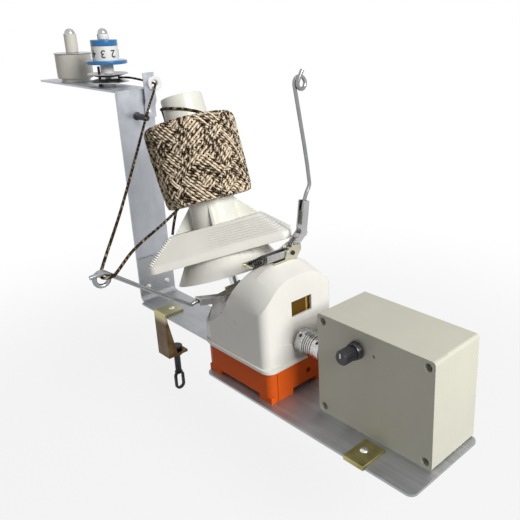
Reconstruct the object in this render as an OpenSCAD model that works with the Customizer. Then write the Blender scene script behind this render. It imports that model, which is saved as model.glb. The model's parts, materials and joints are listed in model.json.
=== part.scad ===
/* [Base plate] */
// Thickness of the base sheet
plate_t = 2; // [1.5:0.1:3]
// Length of the base from its upright end to the motor end
plate_len = 426; // [410:1:460]
// Width of the part under the winder and the motor box
plate_w = 84; // [80:1:100]
// Width of the narrow part
neck_w = 48; // [44:1:60]
// Distance from the winder centre to the far edge
far_y = 40; // [40:1:48]
// Where the narrow part ends
step_x = -3; // [-10:1:-2]
// Height of the turned up end
flange_h = 50; // [30:1:70]
// Corner radius of the sheet
plate_r = 6; // [2:0.5:8]

/* [Riser and shelf] */
// Thickness of the strip
strip_t = 2; // [1.5:0.1:3]
// Width of the strip
strip_w = 42; // [36:1:50]
// Height of the shelf top above the table
shelf_z = 240; // [200:1:280]
// Length of the shelf
shelf_len = 186; // [170:1:220]
// Radius of a rivet shank
rivet_r = 2; // [1.5:0.1:2.5]
// Radius of a rivet head
rivet_head_r = 3.6; // [3:0.1:4]
// Height of a rivet head
rivet_head_h = 1.4; // [1:0.1:2]
// Radius of the black peg
peg_r = 3.4; // [2.5:0.1:5]
// Length of the black peg
peg_len = 22; // [12:1:30]
// Height of the peg above the table
peg_z = 212; // [150:1:220]

/* [Eyelet] */
// Outer radius of the porcelain ring
ring_r = 8; // [6:0.1:10]
// Radius of the ring opening
ring_hole_r = 3.3; // [2:0.1:4]
// Length of the ring along its opening
ring_len = 6; // [4:0.1:8]
// Height of the ring above the table
ring_z = 245; // [240:1:260]
// Thickness of the eyelet strip
eye_t = 1.5; // [1:0.1:2]

/* [Cup] */
// Distance of the cup from the riser along the shelf
cup_off = 133; // [120:1:150]
// Radius of the cup
cup_r = 20; // [18:0.5:22]
// Radius of the step under the cup
cup_foot_r = 16; // [14:0.5:17]
// Height of the step under the cup
cup_foot_h = 4; // [2:0.5:6]
// Height of the cup
cup_h = 32; // [26:1:36]
// Wall of the cup
cup_wall = 2; // [1.5:0.1:3]
// Radius of the sleeve
sleeve_r = 7; // [5.5:0.1:8]
// Height of the sleeve
sleeve_h = 21; // [16:0.5:26]

/* [Tension unit] */
// Distance of the tension unit from the riser along the shelf
dial_off = 53; // [48:1:70]
// Radius of the saucer discs
disc_r = 21.5; // [18:0.5:23]
// Sheet thickness of a saucer disc
disc_t = 0.8; // [0.6:0.1:1.2]
// Depth of a saucer disc
disc_dish = 3; // [2:0.1:3.5]
// Radius of the dial flange
flange_r = 22; // [18:0.5:23]
// Thickness of the dial flange
flange_t = 4; // [3:0.1:6]
// Radius of the number band
band_r = 14; // [12:0.5:18]
// Height of the number band
band_h = 15; // [10:0.5:20]
// Height of the blue cap above the band
cap_h = 6.5; // [4:0.5:10]
// Radius of the post in the tension unit
post_r = 3; // [2.5:0.1:4]
// Radius of the spring cover under the dial
stem_r = 7; // [6:0.1:8]

/* [Table clamp] */
// Distance of the clamp from the riser
clamp_off = 50; // [40:1:80]
// Width of the clamp
clamp_w = 22; // [20:1:34]
// Sheet thickness of the clamp
clamp_t = 3; // [2:0.1:4]
// Reach of the clamp over the base
clamp_reach = 21; // [20:1:34]
// Opening of the clamp under the base
clamp_gap = 46; // [42:1:60]
// Radius of the clamp screw
clamp_screw_r = 3.5; // [3:0.1:5]
// Radius of the pad
pad_r = 7; // [5:0.1:7.5]
// Thickness of the pad
pad_t = 3.4; // [3:0.1:5]
// Travel of the pad
pad_travel = 22; // [15:1:22]
// Width of the small edge bracket
edge_w = 20; // [14:1:28]
// Distance of the small edge bracket from the end of the base
edge_off = 54; // [38:1:68]

/* [Winder casing] */
// Half width of the hood
hood_y = 40; // [38:0.5:42]
// End of the hood towards the motor
hood_x = 82; // [80:0.5:86]
// Height of the hood ridge above the table
ridge_z = 116; // [114:0.5:117]
// Height of the deck under the bobbin
deck_z = 52; // [52:0.5:56]
// Wall of the hood
hood_wall = 2.5; // [2:0.1:3]
// Height of the orange base above the table
case_z = 31; // [30:0.5:33]
// Wall of the orange base
case_wall = 3; // [2.5:0.1:4]
// Width of the window
window_w = 23; // [16:0.5:26]
// Height of the window
window_h = 14.5; // [10:0.5:16]

/* [Drive] */
// Height of the drive shaft above the table
drive_z = 49; // [48:0.5:50]
// Lean of the spindle from upright in degrees
lean = 20; // [18:0.5:22]
// Radius of the drive shaft and the spindle
shaft_r = 4; // [3.5:0.1:4]
// Wall of a bearing bush
bush_wall = 2; // [1.5:0.1:2.5]
// Running clearance on the radius
run = 0.05; // [0.02:0.01:0.1]
// Teeth of the spindle gear
gear_teeth = 30; // [26:1:34]
// Teeth of the drive pinion
pinion_teeth = 13; // [12:1:15]
// Pitch radius of the spindle gear
gear_r = 27; // [25:0.5:28]
// Face width of the teeth
face_w = 8; // [6:0.5:9]
// Radius of the flexible coupling
coupling_r = 11; // [9:0.5:12.5]
// Length of the flexible coupling
coupling_len = 28; // [25:0.5:29]

/* [Bobbin] */
// Turn of the bobbin about the spindle in degrees
bobbin_turn = 40; // [0:1:180]
// Height of the skirt foot along the spindle
skirt_t0 = 39.5; // [38:0.5:44]
// Radius of the skirt at its foot
skirt_r = 49.5; // [46:0.5:50]
// Radius of the skirt under the paddle
skirt_top_r = 37; // [34:0.5:40]
// Half length of the paddle
paddle_l = 64.5; // [58:0.5:66]
// Half width of the paddle
paddle_u = 43; // [40:0.5:44]
// Half length of the paddle ridge
paddle_top_l = 41; // [36:0.5:46]
// Half width of the paddle ridge
paddle_top_u = 28; // [26:0.5:31]
// Height of the paddle edge along the spindle
paddle_t0 = 58; // [56:0.5:60]
// Height of the paddle shoulder along the spindle
paddle_t1 = 64.5; // [63:0.5:68]
// Height of the paddle ridge along the spindle
paddle_t2 = 86; // [84:0.5:90]
// Wall of the paddle
paddle_wall = 2.5; // [2:0.1:3]
// Outer radius of the cone at its foot
cone_r0 = 22; // [20:0.5:24]
// Outer radius of the cone at its top
cone_r1 = 19; // [17:0.5:20]
// Height of the cone top along the spindle
cone_t1 = 207; // [190:1:215]
// Wall of the cone
cone_wall = 2; // [1.5:0.1:3]
// Lower end of the yarn ball along the spindle
ball_t0 = 109; // [108:1:114]
// Upper end of the yarn ball along the spindle
ball_t1 = 180.5; // [170:0.5:184]
// Radius of the yarn ball at its middle
ball_r = 40; // [34:0.5:42]

/* [Guide arms] */
// Wire radius of the guides
wire_r = 1.7; // [1.2:0.1:2]
// Inner radius of the guide loops
loop_r = 3.4; // [2.5:0.1:4.5]
// Sheet thickness of the arm channels
arm_t = 1.2; // [1:0.1:1.6]
// Width of the arm channels
arm_w = 8; // [7:0.1:10]
// Radius of the arm pins
pin_r = 2; // [1.5:0.1:2.5]
// Wire radius of the arm spring
spring_wire_r = 0.6; // [0.5:0.05:0.7]
// Coil radius of the arm spring
spring_coil_r = 3.6; // [3:0.1:4]
// Curls of the arm spring
spring_curls = 6; // [4:1:6]

/* [Motor box] */
// Length of the box
box_l = 115; // [112:1:120]
// Depth of the box
box_d = 55; // [54:1:56]
// Height of the box
box_h = 90; // [84:1:100]
// Left end of the box
box_x = 118; // [117:0.5:120]
// Depth of the lid
lid_d = 16; // [12:0.5:20]
// Wall of the box
box_wall = 2.5; // [2:0.1:3]
// Radius of the gearbox of the motor
gearbox_r = 12; // [10:0.1:12.2]
// Length of the gearbox of the motor
gearbox_len = 21; // [16:0.5:26]
// Length of the motor can
can_len = 31; // [24:0.5:40]
// Radius of the motor shaft
motor_shaft_r = 3; // [2:0.1:3]
// Skirt radius of the knob
knob_r = 7.5; // [6:0.1:9]
// Length of the knob
knob_len = 18; // [12:0.5:22]
// Position of the knob along the box
knob_x = 162; // [150:0.5:180]
// Height of the knob above the table
knob_z = 76; // [72:0.5:80]

/* [Hidden] */
$fn = 48;
gap = 0.3;
cut = 1;
riser_x = step_x - (plate_len - (box_x + box_l + 5 - step_x));
flange_x = riser_x + strip_t;
near_y = far_y - plate_w;
neck_y = far_y - neck_w;
guide_pin_r = 1.4;
pin_at = [-8, -6];
edge_t = 2;
plate_end = riser_x + plate_len;
strip_y0 = far_y - 1 - strip_w;
strip_mid = strip_y0 + strip_w / 2;
shelf_end = riser_x - shelf_len;
cup_x = riser_x - cup_off;
dial_x = riser_x - dial_off;
eye_y = strip_y0 + strip_w + 0.5;
eye_step = 3.5;
eye_x = riser_x + eye_step + eye_t / 2;
bend_r = 8;
clamp_x = riser_x + clamp_off;
clamp_mid_y = neck_y + 13;
edge_x = plate_end - edge_off;
jaw_z = -clamp_gap;
clamp_bend = clamp_t;
web_w = clamp_reach * 0.38;
floor_z = plate_t + 5;
floor_t = 2.5;
nose_x = -34;
nose_r = 20;
lip_t = 3;
lip_out = 2;
step_in = hood_wall * 0.3;
bush_r = shaft_r + bush_wall;
wall_a = 50;
wall_b = 72;
wall_t = 4;
sigma = 90 - lean;
ratio = gear_teeth / pinion_teeth;
pinion_cone = atan(sin(sigma) / (ratio + cos(sigma)));
gear_cone = sigma - pinion_cone;
cone_dist = gear_r / sin(gear_cone);
gear_t = cone_dist * cos(gear_cone);
pinion_x = cone_dist * cos(pinion_cone);
pitch = 2 * PI * gear_r / gear_teeth;
add_a = atan(0.25 * pitch / cone_dist);
ded_a = atan(0.36 * pitch / cone_dist);
tooth_w = 0.42 * pitch;
bevel_k = 1 - face_w / cone_dist;
spindle_lo = -44;
foot_len = 9;
hub_gap = spindle_lo + foot_len + gap;
spindle_hi = cone_t1 - 14;
skirt_t1 = paddle_t0 + 2;
fin_u = paddle_top_u - 0.5;
box_y0 = far_y - box_d;
box_z0 = plate_t;
lid_y = box_y0 + lid_d;
box_screw_in = 6;
coupling_x = 84.5;
arm_x = 58;
arch_r = 34;
end_drop = 6.5;
arm_d = 2 * (wire_r + arm_t);
right_pin = [10, ridge_z + 5.5];
right_path = [right_pin + [-24, 0.1], right_pin, [26, 135], [30, 160]];
right_wire = [leg_end(right_path, 7), leg_end(right_path, 1), [33, 168], [37.5, 177], [24, 262]];
left_x = 27;
left_pin = [-27, 87];
left_path = [[-20, 90], left_pin, [-42, 85.2], [-62, 90]];
left_wire = [leg_end(left_path, 7), leg_end(left_path, 1), [-67, 90.5], [-72, 90], [-140, 140.5]];
spring_a = right_pin + [-43, -1.6];
spring_b = right_path[0] - [arm_d / 2, 0];
rod_r = 1;
yarn_r = 0.9;
disc_z = 4.6;
yarn_z = shelf_z + disc_z + disc_dish + disc_t + yarn_r + 0.1;
left_eye = [left_x + wire_r * 1.3, -142.4, 137.6];
feed_path = [[dial_x + 8, strip_mid + 8, yarn_z], [dial_x + 25, strip_mid + 14, yarn_z],
    [eye_x - 5, eye_y, ring_z + 0.6], [eye_x + 4, eye_y - 0.6, ring_z - 0.8],
    [eye_x + 40, eye_y - 32, ring_z - 19], left_eye + [-60, 52, 30], left_eye + [-5, 0.8, 0.5],
    left_eye - [1.2, 0, 0], left_eye];
lead_path = [left_eye, left_eye + [1.2, 0, 0], left_eye + [3.6, 1.4, 0.2], left_eye + [4.4, 4.2, 0.3],
    left_eye + [3.2, 8, 0.5], [8, -105, 143], [-20, -60, 148], [-37.9, -35, 150.3]];

function unit(v) = v / norm(v);
function along(p, i) = let(n = len(p))
    unit(i == 0 ? p[1] - p[0] : i == n - 1 ? p[n - 1] - p[n - 2] : p[i + 1] - p[i - 1]);
function side(t, ref) = unit(ref - t * (ref * t));
function leg_end(p, back) = let(n = len(p)) p[n - 1] - back * unit(p[n - 1] - p[n - 2]);
function bend(p, k, t) = let(seg = norm(p[k + 1] - p[k]), a = along(p, k) * seg, b = along(p, k + 1) * seg)
    p[k] * (1 - 3 * t * t + 2 * t * t * t) + a * (t - 2 * t * t + t * t * t)
    + p[k + 1] * (3 * t * t - 2 * t * t * t) + b * (t * t * t - t * t);
function smooth(p, m) =
    concat([for (k = [0:len(p) - 2]) for (i = [0:m - 1]) bend(p, k, i / m)], [p[len(p) - 1]]);
function coil(c, axis, r, a0, a1, step, rise) =
    [for (a = [a0:step:a1]) let(u = side(axis, [1, 0, 0]), w = cross(axis, u))
    c + axis * (rise * (a - a0) / 360) + r * (cos(a) * u + sin(a) * w)];
function least_gap(p, r, far) =
    min([for (i = [0:len(p) - far - 1]) for (j = [i + far:len(p) - 1]) norm(p[i] - p[j])]) - 2 * r;

module tube(path, r, sides, ref) {
    n = len(path);
    rings = [for (i = [0:n - 1]) let(t = along(path, i), u = side(t, ref), w = cross(t, u))
        for (k = [0:sides - 1]) path[i] + r * (cos(360 * k / sides) * u + sin(360 * k / sides) * w)];
    low = [for (i = [0:n - 2]) for (k = [0:sides - 1])
        [(i + 1) * sides + k, i * sides + (k + 1) % sides, i * sides + k]];
    high = [for (i = [0:n - 2]) for (k = [0:sides - 1])
        [(i + 1) * sides + k, (i + 1) * sides + (k + 1) % sides, i * sides + (k + 1) % sides]];
    ends = [[for (k = [0:sides - 1]) k], [for (k = [sides - 1:-1:0]) (n - 1) * sides + k]];
    polyhedron(points = rings, faces = concat(low, high, ends), convexity = 8);
}

module on_spindle() {
    translate([0, 0, drive_z])
        rotate([0, -lean, 0])
            children();
}

module on_drive() {
    translate([0, 0, drive_z])
        rotate([0, 90, 0])
            children();
}

module rrect(x0, y0, x1, y1, r) {
    translate([x0 + r, y0])
        square([x1 - x0 - 2 * r, y1 - y0]);
    translate([x0, y0 + r])
        square([x1 - x0, y1 - y0 - 2 * r]);
    for (p = [[x0 + r, y0 + r], [x1 - r, y0 + r], [x0 + r, y1 - r], [x1 - r, y1 - r]])
        translate(p)
            circle(r);
}

module ring(r1, r2, h) {
    difference() {
        cylinder(r = r1, h = h);
        translate([0, 0, -cut])
            cylinder(r = r2, h = h + 2 * cut);
    }
}

module dome(r, h) {
    big = (r * r + h * h) / (2 * h);
    intersection() {
        translate([0, 0, h - big])
            sphere(big, $fn = 64);
        cylinder(r = r + cut, h = h + cut);
    }
}

module yz(x0, x1) {
    translate([x0, 0, 0])
        rotate([90, 0, 90])
            linear_extrude(x1 - x0)
                children();
}

module xz(y0, y1) {
    translate([0, y1, 0])
        rotate([90, 0, 0])
            linear_extrude(y1 - y0)
                children();
}

base_screw_at = [[2, 8.6 - hood_y], [2, hood_y - 8.6], [76, 8.6 - hood_y], [76, hood_y - 8.6],
    [box_x + 12, box_y0 + lid_d + 8],
    [box_x + 12, far_y - 9], [box_x + box_l - 12, box_y0 + lid_d + 8], [box_x + box_l - 12, far_y - 9]];
cover_screw_at = [[44, 6.3 - hood_y], [44, hood_y - 6.3], [66, 6.3 - hood_y], [66, hood_y - 6.3]];
rivet_at = [[riser_x - strip_t, strip_mid - 12, 16], [riser_x - strip_t, strip_mid + 12, 16]];

module base_plate() {
    color([0.55, 0.57, 0.6])
        difference() {
            union() {
                linear_extrude(plate_t) {
                    rrect(step_x, near_y, plate_end, far_y, plate_r);
                    translate([step_x, neck_y])
                        square([plate_r * 2, far_y - neck_y]);
                    rrect(flange_x - strip_t + bend_r, neck_y, step_x + plate_r * 2, far_y, 1);
                }
                yz(flange_x - strip_t, flange_x)
                    rrect(neck_y + 4, bend_r, far_y, plate_t + flange_h, 1);
                xz(neck_y + 4, far_y)
                    translate([flange_x - strip_t + bend_r, bend_r])
                        intersection() {
                            difference() {
                                circle(bend_r);
                                circle(bend_r - plate_t);
                            }
                            translate([-bend_r, -bend_r])
                                square(bend_r + 0.01);
                        }
            }
            for (p = base_screw_at)
                translate([p[0], p[1], 0])
                    csk(plate_t);
            for (p = rivet_at)
                translate([p[0] - cut, p[1], p[2]])
                    rotate([0, 90, 0])
                        cylinder(r = rivet_r, h = 3 * strip_t + 2 * cut);
            for (p = [[clamp_x, clamp_mid_y], [edge_x - 2, near_y + 13]])
                translate([p[0], p[1], 0]) {
                    translate([0, 0, -cut])
                        cylinder(r = rivet_r, h = plate_t + 2 * cut);
                    translate([0, 0, -0.01])
                        cylinder(r1 = rivet_r + 1.3, r2 = rivet_r, h = 1.2);
                }
        }
}

module csk(t) {
    translate([0, 0, -cut])
        cylinder(r = 1.7, h = t + 2 * cut);
    translate([0, 0, -0.01])
        cylinder(r1 = 3.2, r2 = 1.7, h = 1.6);
}

module riser_bracket() {
    color([0.62, 0.64, 0.68])
        difference() {
            union() {
                yz(riser_x - strip_t, riser_x)
                    rrect(strip_y0, bend_r + 1, strip_y0 + strip_w, shelf_z, 1);
                translate([0, 0, shelf_z - strip_t])
                    linear_extrude(strip_t)
                        rrect(shelf_end, strip_y0, riser_x, strip_y0 + strip_w, 1);
            }
            for (p = rivet_at)
                translate([p[0] - cut, p[1], p[2]])
                    rotate([0, 90, 0])
                        cylinder(r = rivet_r, h = 3 * strip_t + 2 * cut);
            translate([riser_x - strip_t - cut, strip_mid, peg_z])
                rotate([0, 90, 0])
                    cylinder(r = 1.5, h = strip_t + 2 * cut);
            translate([riser_x - strip_t - cut, eye_y - 7, ring_z - 30])
                rotate([0, 90, 0])
                    cylinder(r = rivet_r, h = strip_t + 2 * cut);
            for (x = [cup_x, dial_x])
                translate([x, strip_mid, shelf_z - strip_t - cut])
                    cylinder(r = post_r + 0.1, h = strip_t + 2 * cut);
            translate([dial_x + pin_at[0], strip_mid + pin_at[1], shelf_z - strip_t - cut])
                cylinder(r = guide_pin_r, h = strip_t + 2 * cut);
        }
}

module rivet(grip) {
    translate([0, 0, -rivet_head_h])
        cylinder(r = rivet_head_r, h = rivet_head_h);
    cylinder(r = rivet_r, h = grip);
    translate([0, 0, grip])
        dome(rivet_head_r, rivet_head_h);
}

module flush_rivet(grip) {
    cylinder(r1 = rivet_r + 1.1, r2 = rivet_r - 0.1, h = 1.2);
    cylinder(r = rivet_r, h = grip);
    translate([0, 0, grip])
        dome(rivet_head_r, rivet_head_h);
}

module rivets() {
    color([0.75, 0.75, 0.75]) {
        for (p = rivet_at)
            translate(p)
                rotate([0, 90, 0])
                    rivet(2 * strip_t);
        translate([riser_x - strip_t, eye_y - 7, ring_z - 30])
            rotate([0, 90, 0])
                rivet(strip_t + eye_t);
        translate([edge_x - 2, near_y + 13, 0.1])
            flush_rivet(plate_t + edge_t - 0.1);
        translate([clamp_x, clamp_mid_y, 0.1])
            flush_rivet(plate_t + clamp_t - 0.1);
    }
}

module riser_peg() {
    color([0.08, 0.08, 0.08])
        translate([riser_x, strip_mid, peg_z])
            rotate([0, 90, 0]) {
                translate([0, 0, -strip_t])
                    cylinder(r = 1.5, h = strip_t);
                cylinder(r = peg_r + 1, h = 1.6);
                cylinder(r = peg_r, h = peg_len - 2);
                translate([0, 0, peg_len - 2])
                    dome(peg_r, 2);
            }
}

module eyelet_bracket() {
    color([0.6, 0.6, 0.62])
        difference() {
            xz(eye_y - 12, eye_y + 1)
                polygon([[riser_x, ring_z - 36], [riser_x + eye_t, ring_z - 36],
                    [riser_x + eye_t, ring_z - 24],
                    [riser_x + eye_step + eye_t, ring_z - 18], [riser_x + eye_step + eye_t, ring_z + 12],
                    [riser_x + eye_step, ring_z + 12], [riser_x + eye_step, ring_z - 17.4],
                    [riser_x, ring_z - 23.4]]);
            translate([riser_x - cut, eye_y, ring_z])
                rotate([0, 90, 0])
                    cylinder(r = ring_r - 2, h = eye_step + eye_t + 2 * cut);
            translate([riser_x - cut, eye_y - 7, ring_z - 30])
                rotate([0, 90, 0])
                    cylinder(r = rivet_r, h = eye_t + 2 * cut);
        }
}

module eyelet_ring() {
    color([0.95, 0.95, 0.93])
        translate([eye_x, eye_y, ring_z])
            rotate([0, 90, 0])
                difference() {
                    translate([0, 0, -ring_len / 2])
                        cylinder(r = ring_r, h = ring_len);
                    translate([0, 0, -eye_t / 2])
                        ring(ring_r + cut, ring_r - 2, eye_t);
                    translate([0, 0, -ring_len / 2 - cut])
                        cylinder(r = ring_hole_r, h = ring_len + 2 * cut);
                    translate([0, 0, ring_len / 2 - 1.2])
                        cylinder(r1 = ring_hole_r - 0.01, r2 = ring_hole_r + 1.6, h = 1.61);
                    translate([0, 0, -ring_len / 2 - 0.41])
                        cylinder(r1 = ring_hole_r + 1.6, r2 = ring_hole_r - 0.01, h = 1.61);
                }
}

module on_cup(z) {
    translate([cup_x, strip_mid, shelf_z + z])
        children();
}

module on_dial(z) {
    translate([dial_x, strip_mid, shelf_z + z])
        children();
}

module cup_body() {
    color([0.78, 0.75, 0.68])
        on_cup(0)
            difference() {
                rotate_extrude()
                    polygon([[0, 0], [cup_foot_r, 0], [cup_foot_r, cup_foot_h], [cup_r - 2, cup_foot_h],
                        [cup_r - 0.6, cup_foot_h + 0.6], [cup_r, cup_foot_h + 2], [cup_r, cup_h],
                        [0, cup_h]]);
                translate([0, 0, cup_foot_h + cup_wall])
                    cylinder(r = cup_r - cup_wall, h = cup_h);
                translate([0, 0, -cut])
                    cylinder(r = post_r + 0.1, h = cup_h);
            }
}

module cup_disc() {
    color([0.85, 0.85, 0.86])
        on_cup(cup_h + gap)
            difference() {
                cylinder(r = cup_r + 1.2, h = disc_t);
                translate([0, 0, -cut])
                    cylinder(r = post_r + run, h = disc_t + 2 * cut);
            }
}

module cup_sleeve() {
    color([0.8, 0.76, 0.68])
        on_cup(cup_h + disc_t + 2 * gap)
            ring(sleeve_r, post_r + 0.1, sleeve_h);
}

module cup_screw() {
    color([0.88, 0.88, 0.9])
        on_cup(-strip_t - 3) {
            cylinder(r = 5.5, h = 3, $fn = 6);
            cylinder(r = post_r, h = cup_h + disc_t + 2 * gap + sleeve_h + strip_t + 3);
            translate([0, 0, cup_h + disc_t + 2 * gap + sleeve_h + strip_t + 3])
                dome(6, 6);
        }
}

dial_z = disc_z + 2 * disc_dish + 2 * disc_t + 12;

module saucer(up) {
    mirror([0, 0, up ? 0 : 1])
        difference() {
            rotate_extrude()
                polygon([[post_r + run, 0], [disc_r * 0.55, 0], [disc_r, disc_dish],
                    [disc_r, disc_dish + disc_t],
                    [disc_r * 0.55, disc_t], [post_r + run, disc_t]]);
            translate([pin_at[0], pin_at[1], -cut])
                cylinder(r = guide_pin_r + 0.35, h = disc_dish + 2 * cut);
        }
}

module lower_disc() {
    color([0.8, 0.8, 0.82])
        on_dial(disc_z + disc_dish + disc_t)
            saucer(false);
}

module upper_disc() {
    color([0.82, 0.82, 0.84])
        on_dial(disc_z + disc_dish + disc_t + 2 * yarn_r + 0.2)
            saucer(true);
}

module tension_post() {
    color([0.92, 0.91, 0.88])
        on_dial(0) {
            translate([0, 0, -strip_t - 3])
                cylinder(r = 5.5, h = 3, $fn = 6);
            translate([0, 0, -strip_t])
                cylinder(r = post_r, h = dial_z + flange_t + band_h + cap_h + 6 + strip_t);
            cylinder(r = stem_r, h = disc_z + disc_dish);
            translate([0, 0, dial_z - 10])
                difference() {
                    cylinder(r = stem_r, h = 10 - gap);
                    translate([0, 0, -cut])
                        cylinder(r = stem_r - 1.4, h = 10 - gap - 1.5 + cut);
                }
        }
}

spring2_z0 = disc_z + disc_dish + 2 * disc_t + 2 * yarn_r + 0.2 + 0.5;
spring2_z1 = dial_z - gap - 1.5 - 0.5;
spring2_path = coil([dial_x, strip_mid, shelf_z + spring2_z0], [0, 0, 1], 4.3, 0, 360 * 4, 45,
    (spring2_z1 - spring2_z0) / 4);

module tension_spring() {
    color([0.7, 0.7, 0.72])
        tube(spring2_path, 0.35, 6, [0, 0, 1]);
}

module tension_pin() {
    color([0.15, 0.15, 0.15])
        on_dial(-strip_t)
            translate([pin_at[0], pin_at[1], 0]) {
                cylinder(r = guide_pin_r, h = dial_z + strip_t - 3);
                translate([0, 0, strip_t])
                    cylinder(r = guide_pin_r + 0.8, h = 2);
            }
}

module tension_dial() {
    color([0.1, 0.3, 0.65])
        on_dial(dial_z)
            difference() {
                union() {
                    cylinder(r = flange_r, h = flange_t);
                    cylinder(r = band_r - 1.5, h = flange_t + band_h + cap_h);
                    translate([0, 0, flange_t + band_h])
                        cylinder(r = band_r, h = cap_h);
                }
                translate([0, 0, -cut])
                    cylinder(r = post_r + run, h = flange_t + band_h + cap_h + 2 * cut);
            }
}

module dial_ring() {
    color([0.93, 0.93, 0.9])
        on_dial(dial_z + flange_t)
            ring(band_r - 0.2, band_r - 1.5, band_h);
}

module dial_nut() {
    color([0.9, 0.9, 0.88])
        on_dial(dial_z + flange_t + band_h + cap_h + gap)
            ring(6, post_r, 5.7);
}

module dial_screw() {
    color([0.88, 0.88, 0.9])
        on_dial(dial_z + flange_t + band_h + cap_h + 6)
            dome(5.2, 6);
}

module table_clamp() {
    color([0.72, 0.6, 0.32])
        difference() {
            union() {
                yz(clamp_x - clamp_w / 2, clamp_x + clamp_w / 2) {
                    translate([neck_y - clamp_t + clamp_bend, plate_t])
                        square([clamp_reach + clamp_t - clamp_bend, clamp_t]);
                    translate([neck_y - clamp_t, jaw_z - clamp_t])
                        square([clamp_t, clamp_t + plate_t - jaw_z + clamp_t - clamp_bend]);
                    intersection() {
                        translate([neck_y - clamp_t, plate_t - 1])
                            square([clamp_bend, clamp_t + 1]);
                        translate([neck_y - clamp_t + clamp_bend, plate_t + clamp_t - clamp_bend])
                            circle(clamp_bend);
                    }
                    translate([neck_y - clamp_t, jaw_z - clamp_t])
                        square([clamp_reach + clamp_t, clamp_t]);
                }
                yz(clamp_x + clamp_w / 2 - clamp_t, clamp_x + clamp_w / 2)
                    polygon([[neck_y - clamp_t, 0], [neck_y - clamp_t, jaw_z - clamp_t],
                        [neck_y + web_w, jaw_z - clamp_t], [neck_y + web_w, jaw_z + 1],
                        [neck_y, -2 * plate_t]]);
                translate([clamp_x, clamp_mid_y, jaw_z - clamp_t - 4])
                    cylinder(r = clamp_screw_r + 3, h = 4);
            }
            translate([clamp_x, clamp_mid_y, jaw_z - clamp_t - 4 - cut])
                cylinder(r = clamp_screw_r + run, h = clamp_t + 4 + 2 * cut);
            translate([clamp_x, clamp_mid_y, plate_t - cut])
                cylinder(r = rivet_r, h = clamp_t + 2 * cut);
        }
}

pad_z = jaw_z + pad_t + 0.4;
grip_z = jaw_z - clamp_t - pad_travel - 14;

module clamp_screw() {
    color([0.1, 0.1, 0.1])
        translate([clamp_x, clamp_mid_y, 0]) {
            translate([0, 0, grip_z + 7])
                cylinder(r = clamp_screw_r, h = pad_z - pad_t + 2 - gap - grip_z - 7);
            translate([0, 0, grip_z + 8])
                cylinder(r = clamp_screw_r + 1, h = 1.6);
            translate([0, 0, grip_z - 2.2])
                rotate([0, 90, 0])
                    translate([0, 0, -1.5])
                        linear_extrude(3)
                            difference() {
                                rrect(-11.5, -6, 11.5, 6, 5.9);
                                rrect(-8.8, -3.3, 8.8, 3.3, 3.2);
                            }
        }
}

module clamp_pad() {
    color([0.1, 0.1, 0.1])
        translate([clamp_x, clamp_mid_y, pad_z - pad_t])
            difference() {
                cylinder(r = pad_r, h = pad_t);
                translate([0, 0, -cut])
                    cylinder(r = clamp_screw_r + run, h = 2 + cut);
            }
}

module edge_bracket() {
    color([0.74, 0.62, 0.34])
        difference() {
            yz(edge_x - edge_w / 2, edge_x + edge_w / 2) {
                translate([near_y - edge_t, plate_t])
                    square([24 + edge_t, edge_t]);
                translate([near_y - edge_t, 0])
                    square([edge_t, plate_t + edge_t]);
            }
            translate([edge_x - 2, near_y + 13, plate_t - cut])
                cylinder(r = rivet_r, h = edge_t + 2 * cut);
        }
}

module plan(x1, y, r, nx, nr) {
    rrect(-4, -y, x1, y, r);
    polygon([[-4 + r, -y], [-4 + r, y], [-4, y - 2], [nx + nr - nr * 0.6, nr * 0.8],
        [nx + nr - nr * 0.6, -nr * 0.8], [-4, 2 - y]]);
    translate([nx + nr, 0])
        circle(nr);
}

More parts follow.
